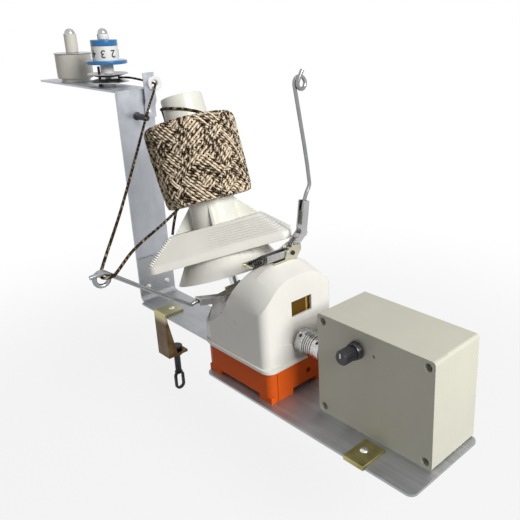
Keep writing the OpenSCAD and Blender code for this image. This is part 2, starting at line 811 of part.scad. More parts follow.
module winder_base() {
    color([0.85, 0.33, 0.08])
        difference() {
            union() {
                difference() {
                    translate([0, 0, floor_z])
                        linear_extrude(case_z - floor_z)
                            plan(hood_x + 2, hood_y - 1.5, 7, nose_x + 1.5, nose_r);
                    translate([0, 0, floor_z + floor_t])
                        linear_extrude(case_z)
                            plan(hood_x + 2 - case_wall, hood_y - 1.5 - case_wall, 5,
                                nose_x + 1.5 + case_wall, nose_r - case_wall);
                }
                for (p = base_screw_at)
                    if (p[0] < box_x)
                        translate([p[0], p[1], plate_t])
                            cylinder(r = 4.5, h = 12);
                for (x = [4.5, hood_x - 6])
                    for (y = [-1, 1])
                        translate([x - 8, y > 0 ? hood_y - 1.5 - 10 : 1.5 - hood_y, plate_t])
                            cube([16, 10, floor_z - plate_t + 1]);
                for (y = [-1, 1])
                    translate([hood_x - 8, y > 0 ? 14 : -29, plate_t])
                        cube([10, 15, floor_z - plate_t + 1]);
                for (p = cover_screw_at)
                    translate([p[0], p[1], floor_z])
                        cylinder(r = 4.2, h = case_z - floor_z);
                translate([wall_a, -14, floor_z])
                    cube([wall_t, 28, drive_z + 12 - floor_z]);
                translate([wall_b, -25, floor_z])
                    cube([wall_t, 50, 92 - floor_z]);
                on_spindle()
                    translate([0, 0, spindle_lo - 2.5])
                        cylinder(r = bush_r + 3, h = foot_len + 2.5);
                translate([3, -9, floor_z])
                    cube([24, 18, 3]);
            }
            translate([0, 0, -50 + plate_t])
                linear_extrude(50)
                    square(300, center = true);
            for (p = base_screw_at)
                if (p[0] < box_x)
                    translate([p[0], p[1], plate_t - cut])
                        cylinder(r = 1.5, h = 9 + cut);
            for (p = cover_screw_at)
                translate([p[0], p[1], 0]) {
                    cylinder(r = 1.7, h = case_z + cut);
                    cylinder(r = 3.2, h = floor_z + 6);
                }
            translate([wall_a - cut, 0, drive_z])
                rotate([0, 90, 0])
                    cylinder(r = bush_r, h = wall_b - wall_a + wall_t + 2 * cut);
            on_spindle()
                translate([0, 0, spindle_lo])
                    cylinder(r = bush_r, h = 20);
            translate([hood_x - cut, 5, 17])
                rotate([0, 90, 0])
                    cylinder(r = 2.6, h = 4);
            translate([hood_x + 1.2, -32, floor_z - 6])
                cube([2, 1.4, 40]);
        }
}

module hood_side(w) {
    polygon([[nose_x + w, case_z - cut], [hood_x - w, case_z - cut],
        [hood_x - w, ridge_z - end_drop - w * 0.7], [arm_x + 7, ridge_z - w],
        [arm_x - 6.5 + w * 0.5, ridge_z - w], [24 + w, deck_z + 16 - w * 0.6],
        [2 + w * 0.5, deck_z - w], [nose_x + w, deck_z - w]]);
}

module hood_arch(y, r, h) {
    translate([-y, 0])
        square([2 * y, h - r]);
    translate([r - y, 0])
        square([2 * (y - r), h]);
    for (s = [-1, 1])
        translate([s * (y - r), h - r])
            circle(r, $fn = 96);
}

module hood_solid(w) {
    intersection() {
        xz(-hood_y + w, hood_y - w)
            hood_side(w);
        yz(nose_x, hood_x)
            hood_arch(hood_y - w, arch_r - w, ridge_z - w);
        translate([arm_x + 4, 0, ridge_z])
            rotate([0, atan2(end_drop, hood_x - arm_x - 4), 0])
                translate([-arm_x - 4, 0, -ridge_z])
                    yz(nose_x * 3, hood_x * 2)
                        hood_arch(hood_y + 1 - w, arch_r + 2 - w, ridge_z - w);
        translate([0, 0, case_z])
            linear_extrude(ridge_z)
                plan(hood_x - w, hood_y - w, 9 - w, nose_x + w, nose_r - w);
    }
}

module winder_cover() {
    color([0.93, 0.93, 0.9])
        difference() {
            union() {
                difference() {
                    union() {
                        hood_solid(0);
                        translate([0, 0, case_z])
                            linear_extrude(lip_t)
                                plan(hood_x + 4, hood_y + lip_out - 0.5, 9,
                                    nose_x - lip_out, nose_r + lip_out);
                    }
                    hood_solid(hood_wall);
                    translate([0, 0, case_z - cut])
                        linear_extrude(2 * cut)
                            plan(hood_x - hood_wall, hood_y - hood_wall, 9 - hood_wall,
                                nose_x + hood_wall, nose_r - hood_wall);
                }
                for (p = cover_screw_at)
                    translate([p[0], p[1], case_z])
                        cylinder(r = 4.2, h = 14);
                on_spindle()
                    translate([0, 0, -3])
                        cylinder(r = bush_r + 2, h = 16);
            }
            translate([hood_x - hood_wall - cut, 1.5 - window_w / 2, 80 - window_h / 2])
                cube([hood_wall + 2 * cut, window_w, window_h]);
            translate([hood_x - hood_wall - cut, 0, drive_z])
                rotate([0, 90, 0])
                    cylinder(r = bush_r + 1.5, h = hood_wall + 6);
            yz(hood_x - step_in, hood_x + cut)
                polygon([[-10, case_z + lip_t + 0.4], [-10, drive_z - 1], [-25, drive_z + 3.4],
                    [-25, drive_z + 13.5], [-12.4, drive_z + 16], [12.4, drive_z + 16], [25, drive_z + 13.5],
                    [25, drive_z + 3.4], [10, drive_z - 1], [10, case_z + lip_t + 0.4]]);
            on_spindle()
                translate([0, 0, -8])
                    cylinder(r = bush_r, h = 26);
            for (p = cover_screw_at)
                translate([p[0], p[1], case_z - cut])
                    cylinder(r = 1.5, h = 12);
        }
}

module cover_screws() {
    color([0.4, 0.4, 0.42])
        for (p = cover_screw_at)
            translate([p[0], p[1], floor_z + 6 - 2.2]) {
                cylinder(r = 3, h = 2.2);
                cylinder(r = 1.5, h = case_z - floor_z - 6 + 2.2 + 8);
            }
}

module base_screws() {
    color([0.4, 0.4, 0.42])
        for (p = base_screw_at)
            translate([p[0], p[1], 0.05]) {
                cylinder(r1 = 3.1, r2 = 1.5, h = 1.6);
                cylinder(r = 1.5, h = 8);
            }
}

module input_bushes() {
    color([0.75, 0.58, 0.3])
        for (x = [wall_a - 1, wall_b - 1])
            translate([x, 0, 0])
                on_drive()
                    ring(bush_r, shaft_r + run, wall_t + 2);
}

module input_shaft() {
    color([0.7, 0.7, 0.72])
        translate([pinion_x - face_w - 1, 0, 0])
            on_drive()
                cylinder(r = shaft_r, h = coupling_x + 12.5 - pinion_x + face_w + 1);
}

function bevel_ring(n, dist, cone) = let(
    rt = dist * tan(cone + add_a), rp = dist * tan(cone), rr = dist * tan(cone - ded_a),
    wt = (tooth_w - 2 * 0.25 * pitch * tan(18)) / 2, wp = tooth_w / 2,
    wr = (tooth_w + 2 * 0.36 * pitch * tan(18)) / 2)
    [for (i = [0:n - 1]) for (q = [[rr, -wr], [rp, -wp], [rt, -wt], [rt, wt], [rp, wp], [rr, wr]])
        let(a = 360 * i / n + q[1] / q[0] * 180 / PI) [q[0] * cos(a), q[0] * sin(a)]];

module input_pinion() {
    color([0.75, 0.72, 0.66])
        difference() {
            union() {
                translate([pinion_x, 0, drive_z])
                    rotate([0, -90, 0])
                        linear_extrude(face_w * cos(pinion_cone), scale = bevel_k)
                            rotate(180 + 180 / pinion_teeth)
                                polygon(bevel_ring(pinion_teeth, pinion_x, pinion_cone));
                translate([pinion_x, 0, 0])
                    on_drive()
                        cylinder(r = 9, h = 8);
            }
            translate([pinion_x - 20, 0, 0])
                on_drive()
                    cylinder(r = shaft_r, h = 40);
        }
}

module spindle_gear() {
    color([0.75, 0.72, 0.66])
        difference() {
            on_spindle() {
                translate([0, 0, -gear_t])
                    linear_extrude(face_w * cos(gear_cone), scale = bevel_k)
                        polygon(bevel_ring(gear_teeth, gear_t, gear_cone));
                translate([0, 0, hub_gap])
                    cylinder(r = 10, h = -gear_t - hub_gap + 1);
            }
            on_spindle()
                translate([0, 0, -50])
                    cylinder(r = shaft_r, h = 60);
        }
}

module spindle_shaft() {
    color([0.72, 0.72, 0.74])
        on_spindle()
            translate([0, 0, spindle_lo + gap])
                cylinder(r = shaft_r, h = spindle_hi - spindle_lo - gap);
}

module spindle_bushes() {
    color([0.75, 0.58, 0.3])
        on_spindle()
            for (t = [[spindle_lo, foot_len], [-2, 16]])
                translate([0, 0, t[0]])
                    ring(bush_r, shaft_r + run, t[1]);
}

module coupling() {
    color([0.78, 0.78, 0.8])
        difference() {
            translate([coupling_x, 0, 0])
                on_drive()
                    difference() {
                        cylinder(r = coupling_r, h = coupling_len);
                        for (i = [0:4])
                            translate([0, 0, coupling_len / 2 - 5.2 + 2.3 * i])
                                ring(coupling_r + cut, coupling_r - 3.5, 0.8);
                        translate([0, 0, -cut])
                            cylinder(r = shaft_r, h = coupling_len / 2 + cut);
                        cylinder(r = motor_shaft_r, h = coupling_len + cut);
                    }
            for (x = [4, coupling_len - 4])
                translate([coupling_x + x, 0, drive_z])
                    rotate([40, 0, 0])
                        cylinder(r = 1.5, h = coupling_r + cut);
        }
}

module coupling_screws() {
    color([0.1, 0.1, 0.1])
        for (q = [[4, shaft_r], [coupling_len - 4, motor_shaft_r]])
            translate([coupling_x + q[0], 0, drive_z])
                rotate([40, 0, 0])
                    translate([0, 0, q[1] + 0.02])
                        cylinder(r = 1.5, h = 6);
}

module paddle_block(w, t0, t1, t2) {
    hull() {
        translate([0, 0, t0])
            linear_extrude(t1 - t0)
                rrect(-paddle_u + w, -paddle_l + w, paddle_u - w, paddle_l - w, 8);
        translate([0, 0, t2 - 0.5])
            linear_extrude(0.5)
                rrect(w * 0.3 - paddle_top_u, w - paddle_top_l, paddle_top_u - w * 0.3, paddle_top_l - w, 3);
    }
}

module bobbin_paddle() {
    color([0.94, 0.94, 0.9])
        on_spindle()
            rotate([0, 0, -bobbin_turn])
                difference() {
                    union() {
                        difference() {
                            paddle_block(0, paddle_t0, paddle_t1, paddle_t2);
                            paddle_block(paddle_wall, paddle_t0 - cut, paddle_t1 - 0.6,
                                paddle_t2 - paddle_wall);
                        }
                        rotate_extrude($fn = 96)
                            polygon([[skirt_r - 2, skirt_t0], [skirt_r, skirt_t0], [skirt_top_r, skirt_t1],
                                [skirt_top_r, skirt_t1 + 2.4], [shaft_r, skirt_t1 + 2.4],
                                [shaft_r, skirt_t1], [skirt_top_r - 2, skirt_t1]]);
                        translate([0, 0, skirt_t0 + 4])
                            cylinder(r = 8, h = paddle_t2 - skirt_t0 - 4);
                        translate([0, 0, skirt_t1])
                            ring(cone_r0, cone_r0 - 2.4, paddle_t2 - skirt_t1);
                    }
                    translate([0, 0, skirt_t0 - cut])
                        cylinder(r = shaft_r, h = paddle_t2 - skirt_t0 + 2 * cut);
                }
}

module bobbin_cone() {
    color([0.95, 0.95, 0.92])
        on_spindle()
            rotate([0, 0, -bobbin_turn])
                difference() {
                    union() {
                        difference() {
                            translate([0, 0, paddle_t2])
                                cylinder(r1 = cone_r0, r2 = cone_r1, h = cone_t1 - paddle_t2);
                            translate([0, 0, paddle_t2 + cone_wall])
                                cylinder(cone_t1 - paddle_t2, cone_r0 - cone_wall, cone_r1 - cone_wall);
                        }
                        for (a = [0:90:270])
                            rotate([0, 0, a])
                                rotate([90, 0, 0])
                                    translate([0, 0, -1.2])
                                        linear_extrude(2.4)
                                            polygon([[cone_r0 - 2, paddle_t2],
                                                [a % 180 == 0 ? fin_u : paddle_top_l - 1, paddle_t2],
                                                [cone_r0 - 1, paddle_t2 + 21],
                                                [cone_r0 - 2, paddle_t2 + 21]]);
                        for (t = [paddle_t2, cone_t1 - 18])
                            translate([0, 0, t])
                                cylinder(r = cone_r1 - 1, h = 3);
                    }
                    cylinder(r = shaft_r, h = cone_t1 + cut);
                }
}

module yarn_ball() {
    color([0.55, 0.44, 0.32])
        on_spindle()
            difference() {
                rotate_extrude($fn = 96)
                    polygon([[cone_r0 - 3, ball_t0 + 1.6], [ball_r - 7, ball_t0 + 0.2],
                        [ball_r - 3, ball_t0 + 1.6], [ball_r - 1.5, ball_t0 + 5],
                        [ball_r - 0.5, ball_t0 + 18],
                        [ball_r, ball_t0 + 36], [ball_r + 0.4, ball_t1 - 20], [ball_r + 0.4, ball_t1 - 5],
                        [ball_r - 0.6, ball_t1], [ball_r - 4, ball_t1 + 2.5], [cone_r1 - 1, ball_t1 + 4]]);
                translate([0, 0, paddle_t2])
                    cylinder(r1 = cone_r0, r2 = cone_r1, h = cone_t1 - paddle_t2);
            }
}

tail_path = [[8, -31.5, ball_t0 - 1.1], [7.5, -37, 97], [6.8, -41.4, paddle_t2 + yarn_r + 0.1]];

module yarn_tail() {
    color([0.45, 0.36, 0.27])
        on_spindle()
            rotate([0, 0, -bobbin_turn])
                tube(smooth(tail_path, 5), yarn_r, 8, [1, 0, 0]);
}

module yarn_feed() {
    color([0.45, 0.36, 0.27])
        tube(smooth(feed_path, 7), yarn_r, 8, [0.3, 1, 0.2]);
}

module yarn_lead() {
    color([0.45, 0.36, 0.27])
        tube(smooth(lead_path, 6), yarn_r, 8, [0, 0, 1]);
}

function at_yz(x, p) = [x, p[0], p[1]];

module strip_leg(a, b, w) {
    d = b - a;
    translate(a)
        rotate(atan2(d[1], d[0]))
            translate([-w / 2, -w / 2])
                square([norm(d) + w, w]);
}

module channel(x, path, pin) {
    difference() {
        yz(x - arm_w / 2, x + arm_w / 2)
            for (i = [0:len(path) - 2])
                strip_leg(path[i], path[i + 1], arm_d);
        yz(x - arm_w / 2 + arm_t, x + arm_w / 2 - arm_t)
            for (i = [0:len(path) - 2])
                let(d = path[i + 1] - path[i])
                    translate(path[i])
                        rotate(atan2(d[1], d[0]))
                            translate([-arm_d, arm_t - arm_d / 2])
                                square([norm(d) + 2 * arm_d, arm_d]);
        translate([x - arm_w, pin[0], pin[1]])
            rotate([0, 90, 0])
                cylinder(r = pin_r + run, h = 2 * arm_w);
    }
}

module right_arm() {
    color([0.75, 0.78, 0.78])
        channel(arm_x, right_path, right_pin);
}

module left_arm() {
    color([0.75, 0.78, 0.78])
        channel(left_x, left_path, left_pin);
}

function guide(x, w, s) = let(n = len(w), e = w[n - 1], d = unit(e - w[n - 2]),
    o = [d[1], -d[0]] * s, c = e + o * (loop_r + wire_r))
    concat([for (p = smooth(w, 5)) at_yz(x, p)],
        [for (a = [25:25:400]) let(q = c - (loop_r + wire_r) * (o * cos(a) - d * sin(a)))
            [x + a / 400 * wire_r * 2.6, q[0], q[1]]],
        [for (k = [1:3]) let(q = c - (loop_r + wire_r) * (o * cos(400) - d * sin(400))
            + k * 3 * unit(o * sin(400) + d * cos(400)))
            [x + wire_r * 2.6, q[0], q[1]]]);

module right_wire_guide() {
    color([0.6, 0.62, 0.64])
        tube(guide(arm_x, right_wire, 1), wire_r, 10, [1, 0, 0]);
}

module left_wire_guide() {
    color([0.6, 0.62, 0.64])
        tube(guide(left_x, left_wire, -1), wire_r, 10, [1, 0, 0]);
}

module arm_pin(x, p) {
    translate([x - arm_w / 2 - 2.5, p[0], p[1]])
        rotate([0, 90, 0]) {
            cylinder(r = pin_r, h = arm_w + 5);
            cylinder(r = pin_r + 1, h = 0.9);
        }
}

module right_arm_pin() {
    color([0.3, 0.3, 0.3])
        arm_pin(arm_x, right_pin);
}

module left_arm_pin() {
    color([0.3, 0.3, 0.3])
        arm_pin(left_x, left_pin);
}

module right_bracket() {
    x0 = arm_x - arm_w / 2 - 1.6;
    x1 = arm_x + arm_w / 2 + 0.4;
    color([0.74, 0.64, 0.36])
        difference() {
            union() {
                translate([x0, -10.5, ridge_z - 4])
                    cube([x1 + 1.2 - x0, 25.5, 5.4]);
                yz(x1, x1 + 1.2)
                    polygon([[1, ridge_z], [15, ridge_z], [20, ridge_z + 6], [20, ridge_z + 11],
                        [14, ridge_z + 12], [4, ridge_z + 8]]);
                yz(x0, x0 + 1.2)
                    polygon([[spring_a[0] - 3, ridge_z + 1.6], [-10.5, ridge_z], [15, ridge_z],
                        [20, ridge_z + 6], [20, ridge_z + 11], [14, ridge_z + 12], [4, ridge_z + 8],
                        [-8, ridge_z + 6.4], [spring_a[0] - 3, ridge_z + 6.4]]);
                translate([x0, spring_a[0], spring_a[1]])
                    rotate([0, 90, 0])
                        cylinder(r = rod_r, h = arm_w + 1.6);
            }
            hood_solid(-0.02);
            translate([arm_x - arm_w, right_pin[0], right_pin[1]])
                rotate([0, 90, 0])
                    cylinder(r = pin_r, h = 2 * arm_w);
        }
}

module left_bracket() {
    x0 = left_x - arm_w / 2 - 1.6;
    x1 = left_x + arm_w / 2 + 0.4;
    color([0.74, 0.64, 0.36])
        difference() {
            union() {
                for (x = [x0, x1])
                    yz(x, x + 1.2)
                        translate([left_pin[0] - 6, deck_z + 8])
                            square([12, left_pin[1] + 4 - deck_z - 8]);
                xz(left_pin[0] - 4, left_pin[0] + 6)
                    polygon([[x0, deck_z + 8], [x1 + 1.2, deck_z + 8], [x1 + 1.2, deck_z + 34.5],
                        [24, deck_z + 18.6], [x0, deck_z + 17]]);
            }
            hood_solid(-0.02);
            translate([left_x - arm_w / 2 - 0.4, left_pin[0] - 8, left_pin[1] - 4.9])
                cube([arm_w + 0.8, 16, 12]);
            translate([left_x - arm_w, left_pin[0], left_pin[1]])
                rotate([0, 90, 0])
                    cylinder(r = pin_r, h = 2 * arm_w);
        }
}

spring_axis = unit([0, spring_b[0] - spring_a[0], spring_b[1] - spring_a[1]]);
spring_start = [arm_x, spring_a[0], spring_a[1]] + spring_axis * (rod_r + spring_wire_r);
spring_len = norm(spring_b - spring_a) - rod_r - 2 * spring_wire_r;
spring_path = concat([spring_start, spring_start + [spring_coil_r * 0.55, 0, 0]],
    coil(spring_start + spring_axis * 0.5, spring_axis, spring_coil_r, 0, 360 * spring_curls, 45,
        (spring_len - 1) / spring_curls),
    [spring_start + spring_axis * (spring_len - 0.2) + [spring_coil_r * 0.55, 0, 0],
        spring_start + spring_axis * spring_len]);

module arm_spring() {
    color([0.06, 0.06, 0.06])
        tube(spring_path, spring_wire_r, 6, spring_axis);
}

module box_body() {
    color([0.75, 0.74, 0.7])
        difference() {
            union() {
                difference() {
                    xz(lid_y, far_y)
                        rrect(box_x, box_z0, box_x + box_l, box_z0 + box_h, 3);
                    xz(lid_y - cut, far_y - box_wall)
                        rrect(box_x + box_wall, box_z0 + box_wall,
                            box_x + box_l - box_wall, box_z0 + box_h - box_wall, 2);
                }
                box_posts(lid_y, far_y - 1);
                motor_ribs(lid_y, far_y - 1);
                for (p = base_screw_at)
                    if (p[0] > box_x)
                        translate([p[0], p[1], box_z0])
                            cylinder(r = 4, h = 9);
            }
            box_holes(1.5, lid_y - cut, far_y - 10);
            for (p = base_screw_at)
                if (p[0] > box_x)
                    translate([p[0], p[1], box_z0 - cut])
                        cylinder(r = 1.5, h = 8);
            translate([box_x - cut, 0, drive_z])
                rotate([0, 90, 0])
                    cylinder(r = 5.2, h = box_wall + 2 * cut);
            translate([box_x + 30, far_y - box_wall - cut, 24])
                rotate([-90, 0, 0])
                    cylinder(r = 4, h = box_wall + 2 * cut);
        }
}

module motor_ribs(y0, y1) {
    for (x = [5, 15])
        translate([box_x + box_wall + x, 0, 0])
            difference() {
                translate([0, y0, drive_z - 17])
                    cube([2, y1 - y0, 34]);
                translate([-cut, 0, 0])
                    on_drive()
                        cylinder(r = gearbox_r, h = 2 + 2 * cut);
            }
}

module box_posts(y0, y1) {
    intersection() {
        xz(y0, y1)
            for (x = [box_x + box_screw_in, box_x + box_l - box_screw_in])
                for (z = [box_z0 + box_screw_in, box_z0 + box_h - box_screw_in])
                    translate([x, z])
                        square(9, center = true);
        xz(y0, y1)
            rrect(box_x + 0.5, box_z0 + 0.5, box_x + box_l - 0.5, box_z0 + box_h - 0.5, 3);
    }
}

module box_holes(r, y0, y1) {
    xz(y0, y1)
        for (x = [box_x + box_screw_in, box_x + box_l - box_screw_in])
            for (z = [box_z0 + box_screw_in, box_z0 + box_h - box_screw_in])
                translate([x, z])
                    circle(r);
}

module box_lid() {
    color([0.78, 0.76, 0.7])
        difference() {
            union() {
                difference() {
                    xz(box_y0, lid_y)
                        rrect(box_x, box_z0, box_x + box_l, box_z0 + box_h, 3);
                    xz(box_y0 + box_wall, lid_y + cut)
                        rrect(box_x + box_wall, box_z0 + box_wall,
                            box_x + box_l - box_wall, box_z0 + box_h - box_wall, 2);
                }
                box_posts(box_y0 + 1, lid_y);
                motor_ribs(box_y0 + 1, lid_y);
            }
            box_holes(1.7, box_y0 - cut, lid_y + cut);
            box_holes(3.4, box_y0 - cut, box_y0 + 6);
            translate([knob_x, box_y0 - cut, knob_z])
                rotate([-90, 0, 0])
                    cylinder(r = 3.6, h = box_wall + 2 * cut);
            translate([knob_x + 15, box_y0 - cut, knob_z - 1])
                rotate([-90, 0, 0])
                    cylinder(r = 1.5, h = 1.8 + cut);
            translate([box_x - cut, 0, drive_z])
                rotate([0, 90, 0])
                    cylinder(r = 5.2, h = box_wall + 2 * cut);
        }
}

module lid_screws() {
    color([0.45, 0.45, 0.47])
        for (x = [box_x + box_screw_in, box_x + box_l - box_screw_in])
            for (z = [box_z0 + box_screw_in, box_z0 + box_h - box_screw_in])
                translate([x, box_y0 + 3.8, z])
                    rotate([-90, 0, 0])
                        difference() {
                            union() {
                                cylinder(r = 3, h = 2.2);
                                cylinder(r = 1.5, h = 24);
                            }
                            for (a = [0, 90])
                                rotate([0, 0, a])
                                    translate([-2, -0.4, -cut])
                                        cube([4, 0.8, cut + 1]);
                        }
}

module gearmotor() {
    color([0.6, 0.6, 0.62])
        translate([box_x + box_wall, 0, 0])
            on_drive()
                difference() {
                    union() {
                        cylinder(r = gearbox_r, h = gearbox_len);
                        translate([0, 0, gearbox_len])
                            cylinder(r = gearbox_r - 1, h = can_len);
                        translate([0, 0, gearbox_len + can_len])
                            cylinder(r = 4, h = 3);
                        translate([0, 0, -box_wall])
                            cylinder(r = 5, h = box_wall);
                    }
                    translate([0, 0, -box_wall - cut])
                        cylinder(r = motor_shaft_r + run, h = 13 + box_wall + cut);
                }
}

module motor_shaft() {
    color([0.75, 0.75, 0.77])
        translate([coupling_x + coupling_len / 2 + 1, 0, 0])
            on_drive()
                cylinder(r = motor_shaft_r, h = box_x + box_wall + 12 - coupling_x - coupling_len / 2 - 1);
}

module control_board() {
    color([0.1, 0.4, 0.2])
        translate([box_x + 42, far_y - box_wall - 6, box_z0 + 18]) {
            cube([60, 1.6, 56]);
            translate([6, -8, 8])
                cube([14, 8, 12]);
            translate([30, -9.5, 34])
                cube([18, 9.5, 14]);
            for (x = [4, 56])
                for (z = [4, 52])
                    translate([x, 1.6, z])
                        rotate([-90, 0, 0])
                            cylinder(r = 2.5, h = 4.4);
        }
}

module potentiometer() {
    color([0.5, 0.5, 0.52])
        translate([knob_x, box_y0, knob_z])
            rotate([-90, 0, 0])
                difference() {
                    union() {
                        translate([0, 0, box_wall])
                            cylinder(r = 8, h = 8);
                        translate([0, 0, -1.5])
                            cylinder(r = 3.5, h = 1.5 + box_wall);
                    }
                    translate([0, 0, -cut - 1.5])
                        cylinder(r = 2.5 + run, h = box_wall + 6 + cut + 1.5);
                }
}

module pot_shaft() {
    color([0.7, 0.7, 0.72])
        translate([knob_x, box_y0 - 12, knob_z])
            rotate([-90, 0, 0])
                cylinder(r = 2.5, h = 12 + box_wall + 5);
}

module speed_knob() {
    color([0.06, 0.06, 0.06])
        translate([knob_x, box_y0 - 2, knob_z])
            rotate([90, 0, 0])
                difference() {
                    union() {
                        cylinder(r1 = knob_r, r2 = knob_r - 0.8, h = 5);
                        cylinder(r = knob_r - 2, h = knob_len - 1);
                        translate([0, 0, knob_len - 1])
                            cylinder(r1 = knob_r - 2, r2 = knob_r - 3, h = 1);
                        translate([-0.7, 0, 0])
                            cube([1.4, knob_r - 0.4, 6]);
                    }
                    translate([0, 0, -cut])
                        cylinder(r = 2.5, h = 10 + cut);
                }
}

module dc_jack() {
    color([0.1, 0.1, 0.1])
        translate([box_x + 30, far_y + 1.5, 24])
            rotate([90, 0, 0])
                difference() {
                    union() {
                        cylinder(r = 5.5, h = 1.5);
                        cylinder(r = 4, h = 16);
                    }
                    translate([0, 0, -cut])
                        cylinder(r = 2.75, h = 10 + cut);
                }
}

echo(arm_spring_gap = least_gap(spring_path, spring_wire_r, 6));
echo(tension_spring_gap = least_gap(spring2_path, 0.35, 6));

base_plate();
riser_bracket();
rivets();
riser_peg();
eyelet_bracket();
eyelet_ring();
cup_body();
cup_disc();
cup_sleeve();
cup_screw();
tension_post();
lower_disc();
upper_disc();
tension_spring();
tension_pin();
tension_dial();
dial_ring();
dial_nut();
dial_screw();
table_clamp();
clamp_screw();
clamp_pad();
edge_bracket();
winder_base();
winder_cover();
cover_screws();
base_screws();
input_bushes();
input_shaft();
input_pinion();
coupling();
coupling_screws();
spindle_gear();
spindle_shaft();
spindle_bushes();
bobbin_paddle();
bobbin_cone();
yarn_ball();
yarn_tail();
yarn_feed();
yarn_lead();
right_bracket();
right_arm_pin();
right_arm();
right_wire_guide();
arm_spring();
left_bracket();
left_arm_pin();
left_arm();
left_wire_guide();
box_body();
box_lid();
lid_screws();
gearmotor();
motor_shaft();
control_board();
potentiometer();
pot_shaft();
speed_knob();
dc_jack();
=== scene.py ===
import bmesh
import bpy
import json
import math
import random
import numpy as np
from mathutils import Matrix, Vector


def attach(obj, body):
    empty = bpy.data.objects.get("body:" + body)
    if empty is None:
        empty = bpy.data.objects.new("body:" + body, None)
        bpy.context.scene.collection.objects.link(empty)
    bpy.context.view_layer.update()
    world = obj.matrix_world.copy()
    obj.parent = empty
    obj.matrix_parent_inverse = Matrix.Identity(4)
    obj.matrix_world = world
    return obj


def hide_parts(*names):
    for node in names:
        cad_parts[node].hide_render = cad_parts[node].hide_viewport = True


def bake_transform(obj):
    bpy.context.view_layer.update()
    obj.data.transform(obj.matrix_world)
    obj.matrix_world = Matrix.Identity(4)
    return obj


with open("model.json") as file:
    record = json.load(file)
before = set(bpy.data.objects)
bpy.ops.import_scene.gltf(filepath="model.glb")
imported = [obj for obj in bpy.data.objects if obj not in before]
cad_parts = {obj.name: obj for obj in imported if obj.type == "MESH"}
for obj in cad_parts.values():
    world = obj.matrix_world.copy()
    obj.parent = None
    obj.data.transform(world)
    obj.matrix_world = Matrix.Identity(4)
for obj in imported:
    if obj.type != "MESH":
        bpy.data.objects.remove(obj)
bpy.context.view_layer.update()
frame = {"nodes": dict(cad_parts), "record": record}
nodes = frame["nodes"]
bodyOf = {}
for bodyName, members in frame["record"]["behaviour"]["bodies"].items():
    for member in members:
        bodyOf[member] = bodyName
mm = 0.001
scene = bpy.context.scene
scene.view_settings.view_transform = "Standard"

# the camera, from the corners of the box and the base in the photograph
view = {
    "azimuth": 42.91, "elevation": 19.22, "roll": -0.51, "distance": 441.72 * mm,
    "target": (163.5 * mm, -23.2 * mm, 173.0 * mm), "near": 0.01,
    "focal": 635.2, "centre": (351.3, 230.9), "image": 520, "sensor": 36.0,
}


def placeCamera():
    az, el, roll = (math.radians(view[k]) for k in ("azimuth", "elevation", "roll"))
    back = Vector((math.sin(az) * math.cos(el), -math.cos(az) * math.cos(el), math.sin(el)))
    right = Vector((math.cos(az), math.sin(az), 0))
    up = back.cross(right)
    across = right * math.cos(roll) + up * math.sin(roll)
    upward = up * math.cos(roll) - right * math.sin(roll)
    data = bpy.data.cameras.new("viewCamera")
    data.sensor_width = view["sensor"]
    data.lens = view["focal"] / view["image"] * view["sensor"]
    half = view["image"] / 2
    data.shift_x = (half - view["centre"][0]) / view["image"]
    data.shift_y = (view["centre"][1] - half) / view["image"]
    data.clip_start = view["near"]
    camera = bpy.data.objects.new("viewCamera", data)
    turn = Matrix((across, upward, back)).transposed().to_4x4()
    camera.matrix_world = Matrix.Translation(Vector(view["target"]) + back * view["distance"]) @ turn
    scene.collection.objects.link(camera)
    scene.camera = camera


placeCamera()
print("camera placed")


class Wire:
    # one socket of a shader tree, with arithmetic that adds Math nodes
    def __init__(self, shading, socket):
        self.shading = shading
        self.socket = socket

    def math(self, operation, *values):
        return self.shading.make("ShaderNodeMath", {"operation": operation}, dict(enumerate(values)))

    def __add__(self, other):
        return self.math("ADD", self, other)

    def __radd__(self, other):
        return self.math("ADD", other, self)

    def __sub__(self, other):
        return self.math("SUBTRACT", self, other)

    def __rsub__(self, other):
        return self.math("SUBTRACT", other, self)

    def __mul__(self, other):
        return self.math("MULTIPLY", self, other)

    def __rmul__(self, other):
        return self.math("MULTIPLY", other, self)

    def sine(self):
        return self.math("SINE", self)

    def size(self):
        return self.math("ABSOLUTE", self)

    def larger(self, other):
        return self.math("MAXIMUM", self, other)

    def smooth(self, low, high):
        return self.shading.make("ShaderNodeMapRange", {"interpolation_type": "SMOOTHSTEP"},
                                 {"Value": self, "From Min": low, "From Max": high})

    def evened(self):
        return self.smooth(0.3, 0.7)  # the usual range of a noise, spread to 0 and 1


class Shading:
    # one shader tree and the nodes added to it
    def __init__(self, tree):
        self.tree = tree

    def make(self, kind, settings=None, sockets=None, out=0):
        node = self.tree.nodes.new(kind)
        for key, value in (settings or {}).items():
            if key == "stops":
                ramp = node.color_ramp
                while len(ramp.elements) < len(value):
                    ramp.elements.new(0.5)
                for element, (place, colour) in zip(ramp.elements, value):
                    element.position = place
                    element.color = (*colour, 1)
            else:
                setattr(node, key, value)
        for key, value in (sockets or {}).items():
            self.plug(node.inputs[key], value)
        return Wire(self, node.outputs[out])

    def plug(self, socket, value):
        if isinstance(value, Wire):
            self.tree.links.new(value.socket, socket)
        else:
            socket.default_value = value


